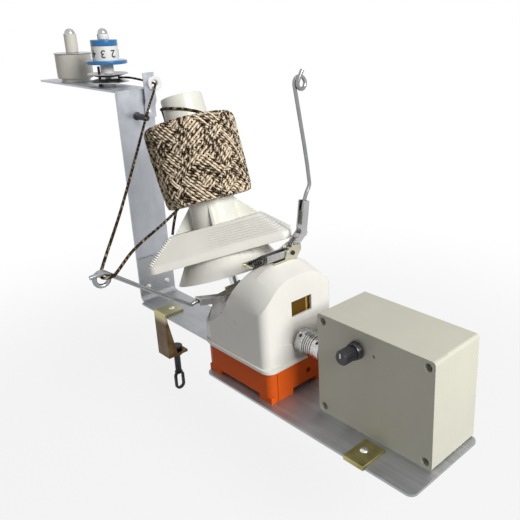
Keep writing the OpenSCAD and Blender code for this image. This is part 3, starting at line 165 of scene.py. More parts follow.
class Look(Shading):
    # one material around one Principled shader
    def __init__(self, name, **fixed):
        self.material = bpy.data.materials.new(name)
        self.material.use_nodes = True
        super().__init__(self.material.node_tree)
        self.shader = self.tree.nodes["Principled BSDF"]
        for socket, value in fixed.items():
            self.feed(socket.replace("_", " "), value)

    def feed(self, socket, value):
        self.plug(self.shader.inputs[socket], value)

    def mapped(self, start, scale=(1, 1, 1), turn=(0, 0, 0), shift=(0, 0, 0)):
        return self.make("ShaderNodeMapping", None,
                         {"Vector": start, "Scale": scale, "Rotation": turn, "Location": shift})

    def place(self, *mapping, **named):
        return self.mapped(self.make("ShaderNodeTexCoord", out="Object"), *mapping, **named)

    def axis(self, vector, number):
        return self.make("ShaderNodeSeparateXYZ", None, {"Vector": vector}, out=number)

    def noise(self, where, scale, detail=3.0, rough=0.55):
        return self.make("ShaderNodeTexNoise", None,
                         {"Vector": where, "Scale": scale, "Detail": detail, "Roughness": rough})

    def blend(self, factor, under, over):
        first, second = (c if isinstance(c, Wire) else (*c, 1) for c in (under, over))
        return self.make("ShaderNodeMix", {"data_type": "RGBA"}, {0: factor, 6: first, 7: second}, out=2)

    def bump(self, height, depth):
        self.feed("Normal", self.make("ShaderNodeBump", None, {"Height": height, "Distance": depth, "Strength": 1.0}))


def shade(colour, factor):
    return tuple(min(1.0, c * factor) for c in colour)


cloudDetail, fineDetail = 4.0, 2.0  # layers of noise in broad clouds and in fine grain

moulding = {
    "cloud": 22.0, "fine": 1500.0, "streak": (60, 60, 9), "cloudShare": 0.7, "swing": 0.16,
    "coatRough": 0.12, "bend": 1.48,
}


def mouldedPlastic(name, colour, rough=0.38, grain=0.00004, mottle=0.08, coat=0.0):
    look = Look(name, Roughness=rough, Coat_Weight=coat, Coat_Roughness=moulding["coatRough"], IOR=moulding["bend"])
    where = look.place()
    cloud = look.noise(where, moulding["cloud"], cloudDetail)
    fine = look.noise(where, moulding["fine"], fineDetail)
    streak = look.noise(look.place(moulding["streak"]), 1.0)
    tone = (cloud * moulding["cloudShare"] + streak * (1 - moulding["cloudShare"])).evened()
    look.feed("Base Color", look.blend(tone, shade(colour, 1 - mottle), shade(colour, 1 + mottle)))
    look.feed("Roughness", cloud * moulding["swing"] + (rough - moulding["swing"] / 2))
    look.bump(fine, grain)
    return look.material


brushing = {
    "stretch": {"X": (8, 420, 420), "Y": (420, 8, 420), "Z": (420, 420, 8)}, "lineRough": 0.65, "cloud": 30.0,
    "speck": 420.0, "speckEdge": (0.62, 0.78), "speckDark": 0.45, "lineShare": 0.55, "toneEdge": (0.32, 0.68),
    "dark": 0.84, "light": 1.12, "lineSwing": 0.16, "cloudSwing": 0.12,
}


def brushedSteel(name, colour, rough, along, streakDepth=0.00002, spots=0.12):
    look = Look(name, Metallic=1.0, Roughness=rough)
    where = look.place()
    lines = look.noise(look.place(brushing["stretch"][along]), 1.0, cloudDetail, brushing["lineRough"])
    cloud = look.noise(where, brushing["cloud"], cloudDetail)
    speck = look.noise(where, brushing["speck"], fineDetail).smooth(*brushing["speckEdge"])
    tone = (lines * brushing["lineShare"] + cloud * (1 - brushing["lineShare"])).smooth(*brushing["toneEdge"])
    base = look.blend(tone, shade(colour, brushing["dark"]), shade(colour, brushing["light"]))
    look.feed("Base Color", look.blend(speck * spots, base, shade(colour, brushing["speckDark"])))
    lineSwing, cloudSwing = brushing["lineSwing"], brushing["cloudSwing"]
    look.feed("Roughness", lines * lineSwing + cloud * cloudSwing + (rough - (lineSwing + cloudSwing) / 2))
    look.bump(lines, streakDepth)
    return look.material


galvanising = {
    "flake": 150.0, "squash": (1, 1, 0.55), "flakeShare": 0.14, "cloud": 26.0, "cloudDetail": 5.0,
    "dark": 0.88, "light": 1.08,
    "rub": (90, 90, 14), "rubEdge": (0.5, 0.75), "rubShare": 0.22, "rubDark": 0.62,
    "metal": 0.85, "rough": 0.42, "smoothest": 0.29, "flakeSwing": 0.07, "cloudSwing": 0.2, "depth": 0.00005,
}


def galvanisedStrip(name, colour):
    look = Look(name, Metallic=galvanising["metal"], Roughness=galvanising["rough"])
    where = look.place()
    flake = look.make("ShaderNodeTexVoronoi", {"feature": "F1"},
                      {"Vector": look.place(galvanising["squash"]), "Scale": galvanising["flake"]}, out="Color")
    grey = look.make("ShaderNodeSeparateColor", None, {"Color": flake})
    cloud = look.noise(where, galvanising["cloud"], galvanising["cloudDetail"])
    rub = look.noise(look.place(galvanising["rub"]), 1.0, cloudDetail).smooth(*galvanising["rubEdge"])
    tone = (grey * galvanising["flakeShare"] + cloud * (1 - galvanising["flakeShare"])).evened()
    base = look.blend(tone, shade(colour, galvanising["dark"]), shade(colour, galvanising["light"]))
    look.feed("Base Color", look.blend(rub * galvanising["rubShare"], base, shade(colour, galvanising["rubDark"])))
    swing = grey * galvanising["flakeSwing"] + cloud * galvanising["cloudSwing"]
    look.feed("Roughness", swing + galvanising["smoothest"])
    look.bump(cloud, galvanising["depth"])
    return look.material


plating = {
    "cloud": 46.0, "stops": (0.28, 0.45, 0.58, 0.72), "topEdge": (-9 * mm, 1 * mm),
    "scratch": (30, 620, 620), "scratchEdge": (0.6, 0.8), "scratchShare": 0.3, "scratchLight": 1.2,
    "rough": 0.36, "smoothest": 0.2, "cloudSwing": 0.2, "scratchSwing": 0.1, "depth": 0.00002,
}


def platedZinc(name, deep, mid, pale, film, top=None):
    # plated steel, with a paler top where one is named; on the clamp the colours below the top are painted shade and a
    # painted reflection, and the top is the zinc's own colour
    look = Look(name, Metallic=1.0, Roughness=plating["rough"])
    where = look.place()
    cloud = look.noise(where, plating["cloud"])
    stops = list(zip(plating["stops"], (deep, mid, pale, film)))
    colour = look.make("ShaderNodeValToRGB", {"stops": stops}, {"Fac": cloud})
    if top:
        colour = look.blend(look.axis(where, 2).smooth(*plating["topEdge"]), colour, top)
    scratch = look.noise(look.place(plating["scratch"]), 1.0)
    worn = scratch.smooth(*plating["scratchEdge"]) * plating["scratchShare"]
    look.feed("Base Color", look.blend(worn, colour, shade(pale, plating["scratchLight"])))
    look.feed("Roughness", cloud * plating["cloudSwing"] + scratch * plating["scratchSwing"] + plating["smoothest"])
    look.bump(scratch, plating["depth"])
    return look.material


blackening = {
    "cloud": 60.0, "fine": 1100.0, "toneEdge": (0.35, 0.7), "dark": 0.7, "light": 1.9,
    "swing": 0.25, "less": 0.12, "depth": 0.00004,
}


def blackFinish(name, colour, rough, metal=0.0):
    look = Look(name, Metallic=metal, Roughness=rough)
    where = look.place()
    cloud = look.noise(where, blackening["cloud"], cloudDetail)
    fine = look.noise(where, blackening["fine"], fineDetail)
    tone = cloud.smooth(*blackening["toneEdge"])
    look.feed("Base Color", look.blend(tone, shade(colour, blackening["dark"]), shade(colour, blackening["light"])))
    look.feed("Roughness", cloud * blackening["swing"] + (rough - blackening["less"]))
    look.bump(fine, blackening["depth"])
    return look.material


polish = {
    "haze": 85.0, "turned": (40, 40, 900), "dark": 0.9, "light": 1.04,
    "hazeSwing": 0.12, "turnedSwing": 0.06, "less": 0.05, "depth": 0.00001,
}


def polishedMetal(name, colour, rough):
    look = Look(name, Metallic=1.0, Roughness=rough)
    haze = look.noise(look.place(), polish["haze"], cloudDetail)
    turned = look.noise(look.place(polish["turned"]), 1.0, fineDetail)
    look.feed("Base Color", look.blend(haze.evened(), shade(colour, polish["dark"]), shade(colour, polish["light"])))
    look.feed("Roughness", haze * polish["hazeSwing"] + turned * polish["turnedSwing"] + (rough - polish["less"]))
    look.bump(turned, polish["depth"])
    return look.material


bushing = {
    "pore": 900.0, "poreEdge": (0.35, 0.65), "dark": (0.38, 0.24, 0.1), "light": (0.62, 0.42, 0.18),
    "rough": 0.4, "swing": 0.25, "smoothest": 0.25, "depth": 0.00005,
}


def bronzeBush(name):
    look = Look(name, Metallic=1.0, Roughness=bushing["rough"])
    pore = look.noise(look.place(), bushing["pore"])
    look.feed("Base Color", look.blend(pore.smooth(*bushing["poreEdge"]), bushing["dark"], bushing["light"]))
    look.feed("Roughness", pore * bushing["swing"] + bushing["smoothest"])
    look.bump(pore, bushing["depth"])
    return look.material


board = {
    "tracks": {"Scale": 150.0, "Color1": (0.01, 0.13, 0.05, 1), "Color2": (0.015, 0.17, 0.07, 1),
               "Mortar": (0.05, 0.3, 0.13, 1), "Mortar Size": 0.03},
    "turn": (math.pi / 2, 0, 0), "grain": 300.0, "rough": 0.35, "swing": 0.3, "smoothest": 0.2,
}


def circuitBoard(name):
    look = Look(name, Roughness=board["rough"])
    flat = look.place(turn=board["turn"])
    look.feed("Base Color", look.make("ShaderNodeTexBrick", {"offset": 0.5}, {"Vector": flat, **board["tracks"]}))
    look.feed("Roughness", look.noise(look.place(), board["grain"]) * board["swing"] + board["smoothest"])
    return look.material


spinning = {
    "twist": 0.36, "patchRound": 0.7, "hair": (1.2, 14.0, 1), "fine": 1900.0,
    "plyShare": 0.1, "patchShare": 1.1, "hairShare": 0.3, "fineShare": 0.2, "toneEdge": (0.62, 0.9),
    "grooveEdge": (0.0, 0.4), "grooveShare": 0.25, "grooveDark": 0.6, "rough": 0.85, "gloss": 0.1,
    "hairSwing": 0.2, "smoothest": 0.72, "grooveRelief": 0.75, "hairRelief": 0.35, "depth": 0.4 * mm,
}


def spunYarn(name, pale, dark, darkShare, length):
    # two plies turn round each other: v runs round the strand and u along it in strand widths
    look = Look(name, Roughness=spinning["rough"], Specular_IOR_Level=spinning["gloss"])
    uv = look.make("ShaderNodeTexCoord", out="UV")
    ply = ((look.axis(uv, 0) * spinning["twist"] + look.axis(uv, 1)) * (2 * math.pi)).sine()
    patch = look.noise(look.mapped(uv, (length, spinning["patchRound"], 1)), 1.0, fineDetail)
    hair = look.noise(look.mapped(uv, spinning["hair"]), 1.0)
    fine = look.noise(look.place(), spinning["fine"], fineDetail)
    mottle = (ply * spinning["plyShare"] + patch * spinning["patchShare"]
              + hair * spinning["hairShare"] + fine * spinning["fineShare"])
    tone = look.blend(mottle.smooth(*(edge + darkShare for edge in spinning["toneEdge"])), dark, pale)
    groove = ply.size().smooth(*spinning["grooveEdge"])
    shadow = (1 - groove) * spinning["grooveShare"]
    look.feed("Base Color", look.blend(shadow, tone, shade(dark, spinning["grooveDark"])))
    look.feed("Roughness", hair * spinning["hairSwing"] + spinning["smoothest"])
    look.bump(groove * spinning["grooveRelief"] + hair * spinning["hairRelief"], spinning["depth"])
    return look.material


packing = {"fibre": 700.0, "dark": 0.5, "light": 1.8, "rough": 0.95, "depth": 0.3 * mm}


def packedYarn(name, colour):
    look = Look(name, Roughness=packing["rough"])
    fibre = look.noise(look.place(), packing["fibre"])
    look.feed("Base Color", look.blend(fibre.evened(), shade(colour, packing["dark"]), shade(colour, packing["light"])))
    look.bump(fibre, packing["depth"])
    return look.material


casing = {
    "wallY": (11.2 * mm, 12 * mm), "windowZ": (62 * mm, 66 * mm), "cloud": 24.0, "fine": 1500.0,
    "dark": 0.92, "light": 1.06, "rough": 0.42, "gloss": 0.08, "swing": 0.16, "smoothest": 0.36, "depth": 0.00003,
}


def caseOrange(name, colour, inside, wallAmber):
    # orange moulding, with painted light and shade on the wall behind the window: dark brown, turning amber towards +Y
    look = Look(name, Roughness=casing["rough"], Specular_IOR_Level=casing["gloss"])
    where = look.place()
    cloud = look.noise(where, casing["cloud"], cloudDetail)
    fine = look.noise(where, casing["fine"], fineDetail)
    skin = look.blend(cloud.evened(), shade(colour, casing["dark"]), shade(colour, casing["light"]))
    # the wall behind the window is painted dark brown as shade, amber towards +Y, above Z 62 to 66 mm
    paintedWall = look.blend(look.axis(where, 1).smooth(*casing["wallY"]), inside, wallAmber)
    look.feed("Base Color", look.blend(look.axis(where, 2).smooth(*casing["windowZ"]), skin, paintedWall))
    look.feed("Roughness", cloud * casing["swing"] + casing["smoothest"])
    look.bump(fine, casing["depth"])
    return look.material


ribbing = {
    "pitch": 2.2 * mm, "ribEdge": (0.1, 0.9), "reach": (-30 * mm, 15 * mm), "low": (65.5 * mm, 68 * mm),
    "high": (83 * mm, 85 * mm), "ribShare": 0.3, "ribDark": 0.72, "cloud": 24.0, "dark": 0.96, "light": 1.03,
    "rough": 0.36, "bend": 1.48, "swing": 0.16, "smoothest": 0.28, "depth": 0.3 * mm,
}


def ribbedIvory(name, colour, foot, axis, lengthways):
    # smooth moulding with fine ribs on the slopes of one end
    look = Look(name, Roughness=ribbing["rough"], IOR=ribbing["bend"])
    where = look.place(shift=tuple(-c for c in foot))

    def measure(direction):
        return look.make("ShaderNodeVectorMath", {"operation": "DOT_PRODUCT"}, {0: where, 1: direction}, out=1)

    height, reach = measure(axis), measure(lengthways)
    ribs = (height * (2 * math.pi / ribbing["pitch"])).sine().smooth(*ribbing["ribEdge"])
    zone = reach.smooth(*ribbing["reach"]) * height.smooth(*ribbing["low"]) * (1 - height.smooth(*ribbing["high"]))
    cloud = look.noise(look.place(), ribbing["cloud"], cloudDetail)
    tone = look.blend(cloud.evened(), shade(colour, ribbing["dark"]), shade(colour, ribbing["light"]))
    shadow = zone * (1 - ribs) * ribbing["ribShare"]
    look.feed("Base Color", look.blend(shadow, tone, shade(colour, ribbing["ribDark"])))
    look.feed("Roughness", cloud * ribbing["swing"] + ribbing["smoothest"])
    look.bump(zone * ribs, ribbing["depth"])
    return look.material


# the bobbin's leaning axis, in millimetres and degrees
spindle = {"foot": (0, 0, 49), "axis": (-0.342, 0, 0.9397), "lean": 20.0,
           "turn": 40.0, "lengthways": (0.604, 0.766, 0.22)}  # how the paddle stands
spindleFoot = tuple(c * mm for c in spindle["foot"])
# each finish: its maker, then its colours and what else the maker takes
recipes = {
    "plateSteel": (brushedSteel, (0.42, 0.43, 0.445), 0.5, "X", 0.00001, 0.06),
    "stripZinc": (galvanisedStrip, (0.5, 0.52, 0.56)),
    "rivetSteel": (brushedSteel, (0.7, 0.7, 0.7), 0.3, "Z"),
    "blackPlastic": (blackFinish, (0.018, 0.018, 0.02), 0.42),
    "porcelain": (mouldedPlastic, (0.84, 0.83, 0.8), 0.14, 0.00001, 0.03, 0.5),
    "creamCup": (mouldedPlastic, (0.66, 0.64, 0.56), 0.36, 0.00003, 0.05),
    "discMetal": (polishedMetal, (0.4, 0.4, 0.41), 0.24),
    # the domes are a darker grey than chrome: a painted dark reflection
    "domeChrome": (polishedMetal, (0.46, 0.46, 0.47), 0.12),
    "postWhite": (mouldedPlastic, (0.8, 0.79, 0.75), 0.36),
    "dialBlue": (mouldedPlastic, (0.006, 0.145, 0.38), 0.25, 0.00001, 0.06, 0.3),
    "springSteel": (brushedSteel, (0.55, 0.55, 0.57), 0.3, "Z"),
    "yellowZinc": (platedZinc, (0.22, 0.195, 0.075), (0.36, 0.32, 0.135), (0.43, 0.385, 0.18), (0.29, 0.265, 0.115)),
    # the clamp: painted shade and a painted reflection below a paler top in the zinc's own colour
    "brownZinc": (platedZinc, (0.06, 0.03, 0.015), (0.105, 0.06, 0.028), (0.15, 0.11, 0.05), (0.085, 0.042, 0.02),
                  (0.46, 0.42, 0.24)),
    "paleZinc": (platedZinc, (0.42, 0.39, 0.29), (0.56, 0.53, 0.41), (0.62, 0.59, 0.48), (0.47, 0.44, 0.33)),
    "blackSteel": (blackFinish, (0.02, 0.02, 0.021), 0.36, 0.6),
    # the last two colours are painted light and shade on the wall behind the window
    "orangeCase": (caseOrange, (0.72, 0.11, 0.012), (0.11, 0.055, 0.008), (0.5, 0.33, 0.1)),
    "ivoryHood": (mouldedPlastic, (0.79, 0.775, 0.72), 0.3, 0.00002, 0.03, 0.15),
    "ivoryBobbin": (ribbedIvory, (0.76, 0.745, 0.68), spindleFoot, spindle["axis"], spindle["lengthways"]),
    "ivoryCone": (mouldedPlastic, (0.74, 0.735, 0.665), 0.34, 0.00002, 0.03),
    "screwSteel": (brushedSteel, (0.4, 0.4, 0.41), 0.32, "Y"),
    "bronzeBush": (bronzeBush,),
    "shaftSteel": (brushedSteel, (0.66, 0.66, 0.68), 0.24, "X"),
    "gearNylon": (mouldedPlastic, (0.7, 0.67, 0.58), 0.45),
    "couplingAlloy": (brushedSteel, (0.56, 0.56, 0.57), 0.28, "Y"),
    "armZinc": (brushedSteel, (0.5, 0.5, 0.5), 0.3, "Z"),
    "guideWire": (polishedMetal, (0.3, 0.305, 0.31), 0.22),
    "creamBox": (mouldedPlastic, (0.585, 0.57, 0.475), 0.5, 0.00006, 0.03),
    "motorCan": (brushedSteel, (0.56, 0.56, 0.58), 0.3, "X"),
    "circuitBoard": (circuitBoard,),
    "knobBlack": (blackFinish, (0.012, 0.012, 0.015), 0.3),
    "yarn": (spunYarn, (0.92, 0.76, 0.56), (0.03, 0.014, 0.005), 0.03, 0.13),
    # the ball's core is painted near black: the shade in the gaps between the strands
    "packedYarn": (packedYarn, (0.016, 0.008, 0.004)),
    "yarnCord": (spunYarn, (0.36, 0.27, 0.175), (0.022, 0.014, 0.01), 0.16, 0.42),
    "numberInk": (blackFinish, (0.012, 0.012, 0.013), 0.5),
    "pointerWhite": (mouldedPlastic, (0.8, 0.8, 0.78), 0.5),
}
finishes = {name: maker(name, *values) for name, (maker, *values) in recipes.items()}
finishOf = {
    "plateSteel": ["base_plate"],
    "stripZinc": ["riser_bracket", "eyelet_bracket"],
    "rivetSteel": ["rivets"],
    "blackPlastic": ["riser_peg", "tension_pin", "dc_jack", "potentiometer"],
    "porcelain": ["eyelet_ring"],
    "creamCup": ["cup_body", "cup_sleeve"],
    "discMetal": ["cup_disc", "lower_disc", "upper_disc"],
    "domeChrome": ["cup_screw", "dial_screw"],
    "postWhite": ["tension_post", "dial_nut", "dial_ring"],
    "dialBlue": ["tension_dial"],
    "springSteel": ["tension_spring"],
    "yellowZinc": ["edge_bracket", "left_bracket"],
    "brownZinc": ["table_clamp"],
    "paleZinc": ["right_bracket"],
    "blackSteel": ["clamp_screw", "clamp_pad", "coupling_screws", "arm_spring", "right_arm_pin", "left_arm_pin"],
    "orangeCase": ["winder_base"],
    "ivoryHood": ["winder_cover"],
    "ivoryBobbin": ["bobbin_paddle"],
    "ivoryCone": ["bobbin_cone"],
    "screwSteel": ["cover_screws", "base_screws", "lid_screws"],
    "bronzeBush": ["input_bushes", "spindle_bushes"],
    "shaftSteel": ["input_shaft", "spindle_shaft", "motor_shaft", "pot_shaft"],
    "gearNylon": ["input_pinion", "spindle_gear"],
    "couplingAlloy": ["coupling"],
    "armZinc": ["right_arm", "left_arm"],
    "guideWire": ["right_wire_guide", "left_wire_guide"],
    "creamBox": ["box_body", "box_lid"],
    "motorCan": ["gearmotor"],
    "circuitBoard": ["control_board"],
    "knobBlack": ["speed_knob"],
    "yarn": ["yarn_ball", "yarn_tail", "yarn_feed", "yarn_lead"],
}
finishNameOf = {name: finish for finish, names in finishOf.items() for name in names}


def dress(piece, finish):
    piece.data.materials.clear()
    piece.data.materials.append(finishes[finish])


for name, node in nodes.items():
    dress(node, finishNameOf[name])
print("finishes on the solids")


def only(piece):
    bpy.ops.object.select_all(action="DESELECT")
    piece.select_set(True)
    bpy.context.view_layer.objects.active = piece


def setOut(name, mesh):
    piece = bpy.data.objects.new(name, mesh)
    scene.collection.objects.link(piece)
    only(piece)
    return piece


def meshPiece(name, verts, faces):
    mesh = bpy.data.meshes.new(name)
    mesh.from_pydata([tuple(v) for v in verts], [], faces)
    return setOut(name, mesh)


def editAll():
    bpy.ops.object.mode_set(mode="EDIT")
    bpy.ops.mesh.select_all(action="SELECT")


def doneEditing():
    bpy.ops.object.mode_set(mode="OBJECT")


def editEdges(piece, wanted):
    # edit mode, with only the wanted edges selected
    only(piece)
    bpy.ops.object.mode_set(mode="EDIT")
    bpy.ops.mesh.select_mode(type="EDGE")
    bpy.ops.mesh.select_all(action="DESELECT")
    cage = bmesh.from_edit_mesh(piece.data)
    for edge in cage.edges:
        if len(edge.link_faces) == 2 and wanted(edge):
            edge.select = True
    bmesh.update_edit_mesh(piece.data)


def joinTo(piece, extras):
    only(piece)
    for extra in extras:
        extra.select_set(True)
    bpy.ops.object.join()


def handOver(piece, node):
    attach(piece, bodyOf[node])
    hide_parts(node)


def settle(piece, node):
    dress(piece, finishNameOf[node])
    handOver(piece, node)


flatFaces = {"crease": math.radians(6), "area": 8 * mm * mm, "ratio": 12}


def smoothShade(piece, angle):
    # the rounded edges turn in the light, and the flat faces beside them stay flat
    def besideFlat(edge):
        if edge.calc_face_angle(0) <= flatFaces["crease"]:
            return False
        small, large = sorted(face.calc_area() for face in edge.link_faces)
        return large > flatFaces["area"] and large > flatFaces["ratio"] * small

    only(piece)
    bpy.ops.object.shade_smooth_by_angle(angle=math.radians(angle))
    editEdges(piece, besideFlat)
    bpy.ops.mesh.mark_sharp()
    doneEditing()


merging = {"gap": 0.01 * mm, "flat": math.radians(0.6)}


def copyOf(node, name):
    # a merged copy of a solid, with its flat faces in one piece
    piece = setOut(name, nodes[node].data.copy())
    bpy.ops.mesh.customdata_custom_splitnormals_clear()
    editAll()
    bpy.ops.mesh.remove_doubles(threshold=merging["gap"])
    bpy.ops.mesh.dissolve_limited(angle_limit=merging["flat"])
    doneEditing()
    return piece


def curveThrough(points, steps):
    # the same smooth line that the solids follow
    points = [Vector(p) for p in points]
    count = len(points)

    def heading(i):
        low, high = max(i - 1, 0), min(i + 1, count - 1)
        return (points[high] - points[low]).normalized()

    line = []
    for k in range(count - 1):
        span = (points[k + 1] - points[k]).length
        a, b = heading(k) * span, heading(k + 1) * span
        for i in range(steps):
            t = i / steps
            line.append(points[k] * (1 - 3 * t * t + 2 * t ** 3) + a * (t - 2 * t * t + t ** 3)
                        + points[k + 1] * (3 * t * t - 2 * t ** 3) + b * (t ** 3 - t * t))
    line.append(points[-1])
    return line


strand = {"stagger": 37.3, "firstSide": (0.31, 0.17, 0.94), "looseSides": 10}


def strandMesh(name, lines, radius, sides):
    # tubes with a UV map: u along the strand in strand widths, v round it
    verts, faces, uvs = [], [], []
    for number, line in enumerate(lines):
        base = len(verts)
        run = number * strand["stagger"] * radius
        across = Vector(strand["firstSide"])
        for i, p in enumerate(line):
            ahead = (line[min(i + 1, len(line) - 1)] - line[max(i - 1, 0)]).normalized()
            across = (across - ahead * across.dot(ahead)).normalized()
            other = ahead.cross(across)
            for k in range(sides):
                turn = 2 * math.pi * k / sides
                verts.append(p + (across * math.cos(turn) + other * math.sin(turn)) * radius)
            if i:
                step = (p - line[i - 1]).length
                run += step
                u0, u1 = (run - step) / radius / 2, run / radius / 2
                low = base + (i - 1) * sides
                for k in range(sides):
                    n = (k + 1) % sides
                    faces.append((low + k, low + n, low + sides + n, low + sides + k))
                    uvs += [(u0, k / sides), (u0, (k + 1) / sides), (u1, (k + 1) / sides), (u1, k / sides)]
        last = base + (len(line) - 1) * sides
        faces.append(tuple(base + k for k in reversed(range(sides))))
        faces.append(tuple(last + k for k in range(sides)))
        uvs += [(0, 0)] * (2 * sides)
    piece = meshPiece(name, verts, faces)
    layer = piece.data.uv_layers.new(name="UVMap")
    layer.data.foreach_set("uv", np.array(uvs, np.float32).ravel())
    bpy.ops.object.shade_smooth()
    return piece


# the yarn between the tension discs, the eyelet, the left guide and the ball
yarn = {
    "radius": 1.2 * mm, "feedSteps": 7, "leadSteps": 6, "feedHeld": 3,  # the point just past the eyelet
    "eye": (29.21, -142.4, 137.6),
    "feed": [(-233, 26, 249.4), (-216, 32, 249.4), (-188.75, 39.5, 245.6), (-179.75, 38.9, 244.2), (-143.75, 7.5, 226)],
    "feedToEye": [(-60, 52, 30), (-5, 0.8, 0.5), (-1.2, 0, 0), (0, 0, 0)],
    "eyeToLead": [(0, 0, 0), (1.2, 0, 0), (3.6, 1.4, 0.2), (4.4, 4.2, 0.3), (3.2, 8, 0.5)],
    "lead": [(8, -105, 143), (-20, -60, 148), (-37.9, -35, 150.3)],
}


def fromEye(steps):
    return [tuple(e + d for e, d in zip(yarn["eye"], step)) for step in steps]


def inMetres(points):
    return [Vector(p) * mm for p in points]


def layYarn(name, node, points, steps):
    line = curveThrough(inMetres(points), steps)
    piece = strandMesh(name, [line], yarn["radius"], strand["looseSides"])
    dress(piece, "yarnCord")
    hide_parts(node)
    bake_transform(piece)
    length = sum((b - a).length for a, b in zip(line, line[1:]))


feedLine = yarn["feed"] + fromEye(yarn["feedToEye"])
leadLine = list(reversed(fromEye(yarn["eyeToLead"]) + yarn["lead"]))
layYarn("yarnFeed", "yarn_feed", feedLine, yarn["feedSteps"])
layYarn("yarnLead", "yarn_lead", leadLine, yarn["leadSteps"])
print("yarn laid")

# the wound ball: one strand goes up and down the cone while the bobbin turns
ball = {
    "profile": [(21.5, 111.5), (25, 109.8), (34, 109.2), (37.2, 110.2), (38.3, 113.4), (39.1, 127), (39.7, 145),
                (40.1, 160), (40.2, 176.5), (39.7, 180.6), (37.4, 183.2), (24, 184.3), (20.6, 182.6)],
    "count": {1: 56, -1: 72}, "sweep": {1: 205.0, -1: 125.0},  # strands on their way up and down
    "bandWidths": (3, 6), "mixed": 0.3, "jitter": 0.35, "relief": 0.85, "easing": [0.1, 0.25, 0.3, 0.25, 0.1],
    "wobble": 0.2, "wobbleTurns": 11, "wobbleStart": 6, "rings": 100, "sides": 6, "radius": 1.02, "seed": 11,
    "coreInset": 1.3, "coreSmooth": 60,
    "looseRadius": 1.25, "tailSteps": 6, "tail": [(8, -31.5, 107.9), (7.5, -37, 97.0), (6.8, -41.4, 87.0)],
}
cone = {"foot": 22.0, "top": 19.0, "low": 86.0, "high": 207.0}
coneLoop = {"steps": 32, "share": 0.72, "start": 26, "sweep": 163, "last": 8, "foot": 184, "rise": 16, "fall": 19,
            "ease": 1.2, "off": 1.1}


def onSpindle(x, y, t, turned=False):
    lean = math.radians(spindle["lean"])
    if turned:
        spin = math.radians(-spindle["turn"])
        x, y = x * math.cos(spin) - y * math.sin(spin), x * math.sin(spin) + y * math.cos(spin)
    across, height = x * math.cos(lean) - t * math.sin(lean), x * math.sin(lean) + t * math.cos(lean)
    return Vector((across, y, spindle["foot"][2] + height)) * mm


def roundSpindle(r, turn, t):
    return onSpindle(r * math.cos(turn), r * math.sin(turn), t)


def bandsOf(count, dice):
    widths = []
    while sum(widths) < count:
        widths.append(dice.randint(*ball["bandWidths"]))
    return [number for number, width in enumerate(widths) for _ in range(width)][:count]


def woundLines():
    # bands of side by side strands lie over and under the bands that cross them
    dice = random.Random(ball["seed"])
    profile = np.array(ball["profile"], float)
    reach = np.concatenate([[0], np.cumsum(np.hypot(*np.diff(profile, axis=0).T))])
    reach /= reach[-1]
    count, sweep = ball["count"], ball["sweep"]
    bandOf = {way: bandsOf(count[way], dice) for way in (1, -1)}
    over = {}
    for i in range(bandOf[1][-1] + 1):
        for j in range(bandOf[-1][-1] + 1):
            over[i, j] = 1 if ((i + j) % 2 == 0) != (dice.random() < ball["mixed"]) else -1
    lines = []
    steps = np.linspace(0, 1, ball["rings"] + 1)
    for way in (1, -1):
        for k in range(count[way]):
            start = (k + ball["jitter"] * dice.random()) * 360 / count[way]
            mine = bandOf[way][k]
            level = []
            for s in steps:
                crossed = (start + way * (sweep[1] + sweep[-1]) * s) % 360
                meets = bandOf[-way][int(crossed / 360 * count[-way]) % count[-way]]
                level.append(over[mine, meets] if way > 0 else -over[meets, mine])
            level = np.convolve(np.pad(level, len(ball["easing"]) // 2, mode="edge"), ball["easing"], mode="valid")
            wobble = dice.random() * ball["wobbleStart"]
            line = []
            for s, lift in zip(steps, level):
                r = np.interp(s, reach, profile[:, 0]) + ball["relief"] * lift
                r += ball["wobble"] * math.sin(ball["wobbleTurns"] * s + wobble)
                turn = math.radians(start + way * sweep[way] * s)
                line.append(roundSpindle(r, turn, np.interp(s, reach, profile[:, 1])))
            lines.append(line)
    return lines


def loopLine():
    # the strand that goes over the cone above the ball
    line = []
    share = coneLoop["share"]
    for i in range(coneLoop["steps"] + 1):
        f = i / coneLoop["steps"]
        rise, fall = min(f / share, 1), max(0, (f - share) / (1 - share))
        turn = math.radians(coneLoop["start"] - coneLoop["sweep"] * rise - coneLoop["last"] * fall)
        t = coneLoop["foot"] + coneLoop["rise"] * math.sin(math.pi * rise / 2)
        t -= coneLoop["fall"] * fall ** coneLoop["ease"]
        surface = cone["foot"] + (cone["top"] - cone["foot"]) * (t - cone["low"]) / (cone["high"] - cone["low"])
        line.append(roundSpindle(surface + coneLoop["off"], turn, t))
    return line


def looseEnds():
    tail = [onSpindle(*p, turned=True) for p in curveThrough(ball["tail"], ball["tailSteps"])]
    piece = strandMesh("looseEnds", [loopLine(), tail], ball["looseRadius"] * mm, strand["looseSides"])
    dress(piece, "yarnCord")
    return piece


def ballCore():
    # the imported yarn below the outer strands, painted near black as the shade in the gaps between them
    core = copyOf("yarn_ball", "ballCore")
    editAll()
    bpy.ops.transform.shrink_fatten(value=-ball["coreInset"] * mm)
    doneEditing()
    smoothShade(core, ball["coreSmooth"])
    dress(core, "packedYarn")
    return core


woundBall = strandMesh("woundYarn", woundLines(), ball["radius"] * mm, ball["sides"])
dress(woundBall, "yarn")
joinTo(woundBall, [looseEnds(), ballCore()])
woundBall.name = "woundBall"
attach(woundBall, "spindle")
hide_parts("yarn_ball", "yarn_tail")
print("ball wound")

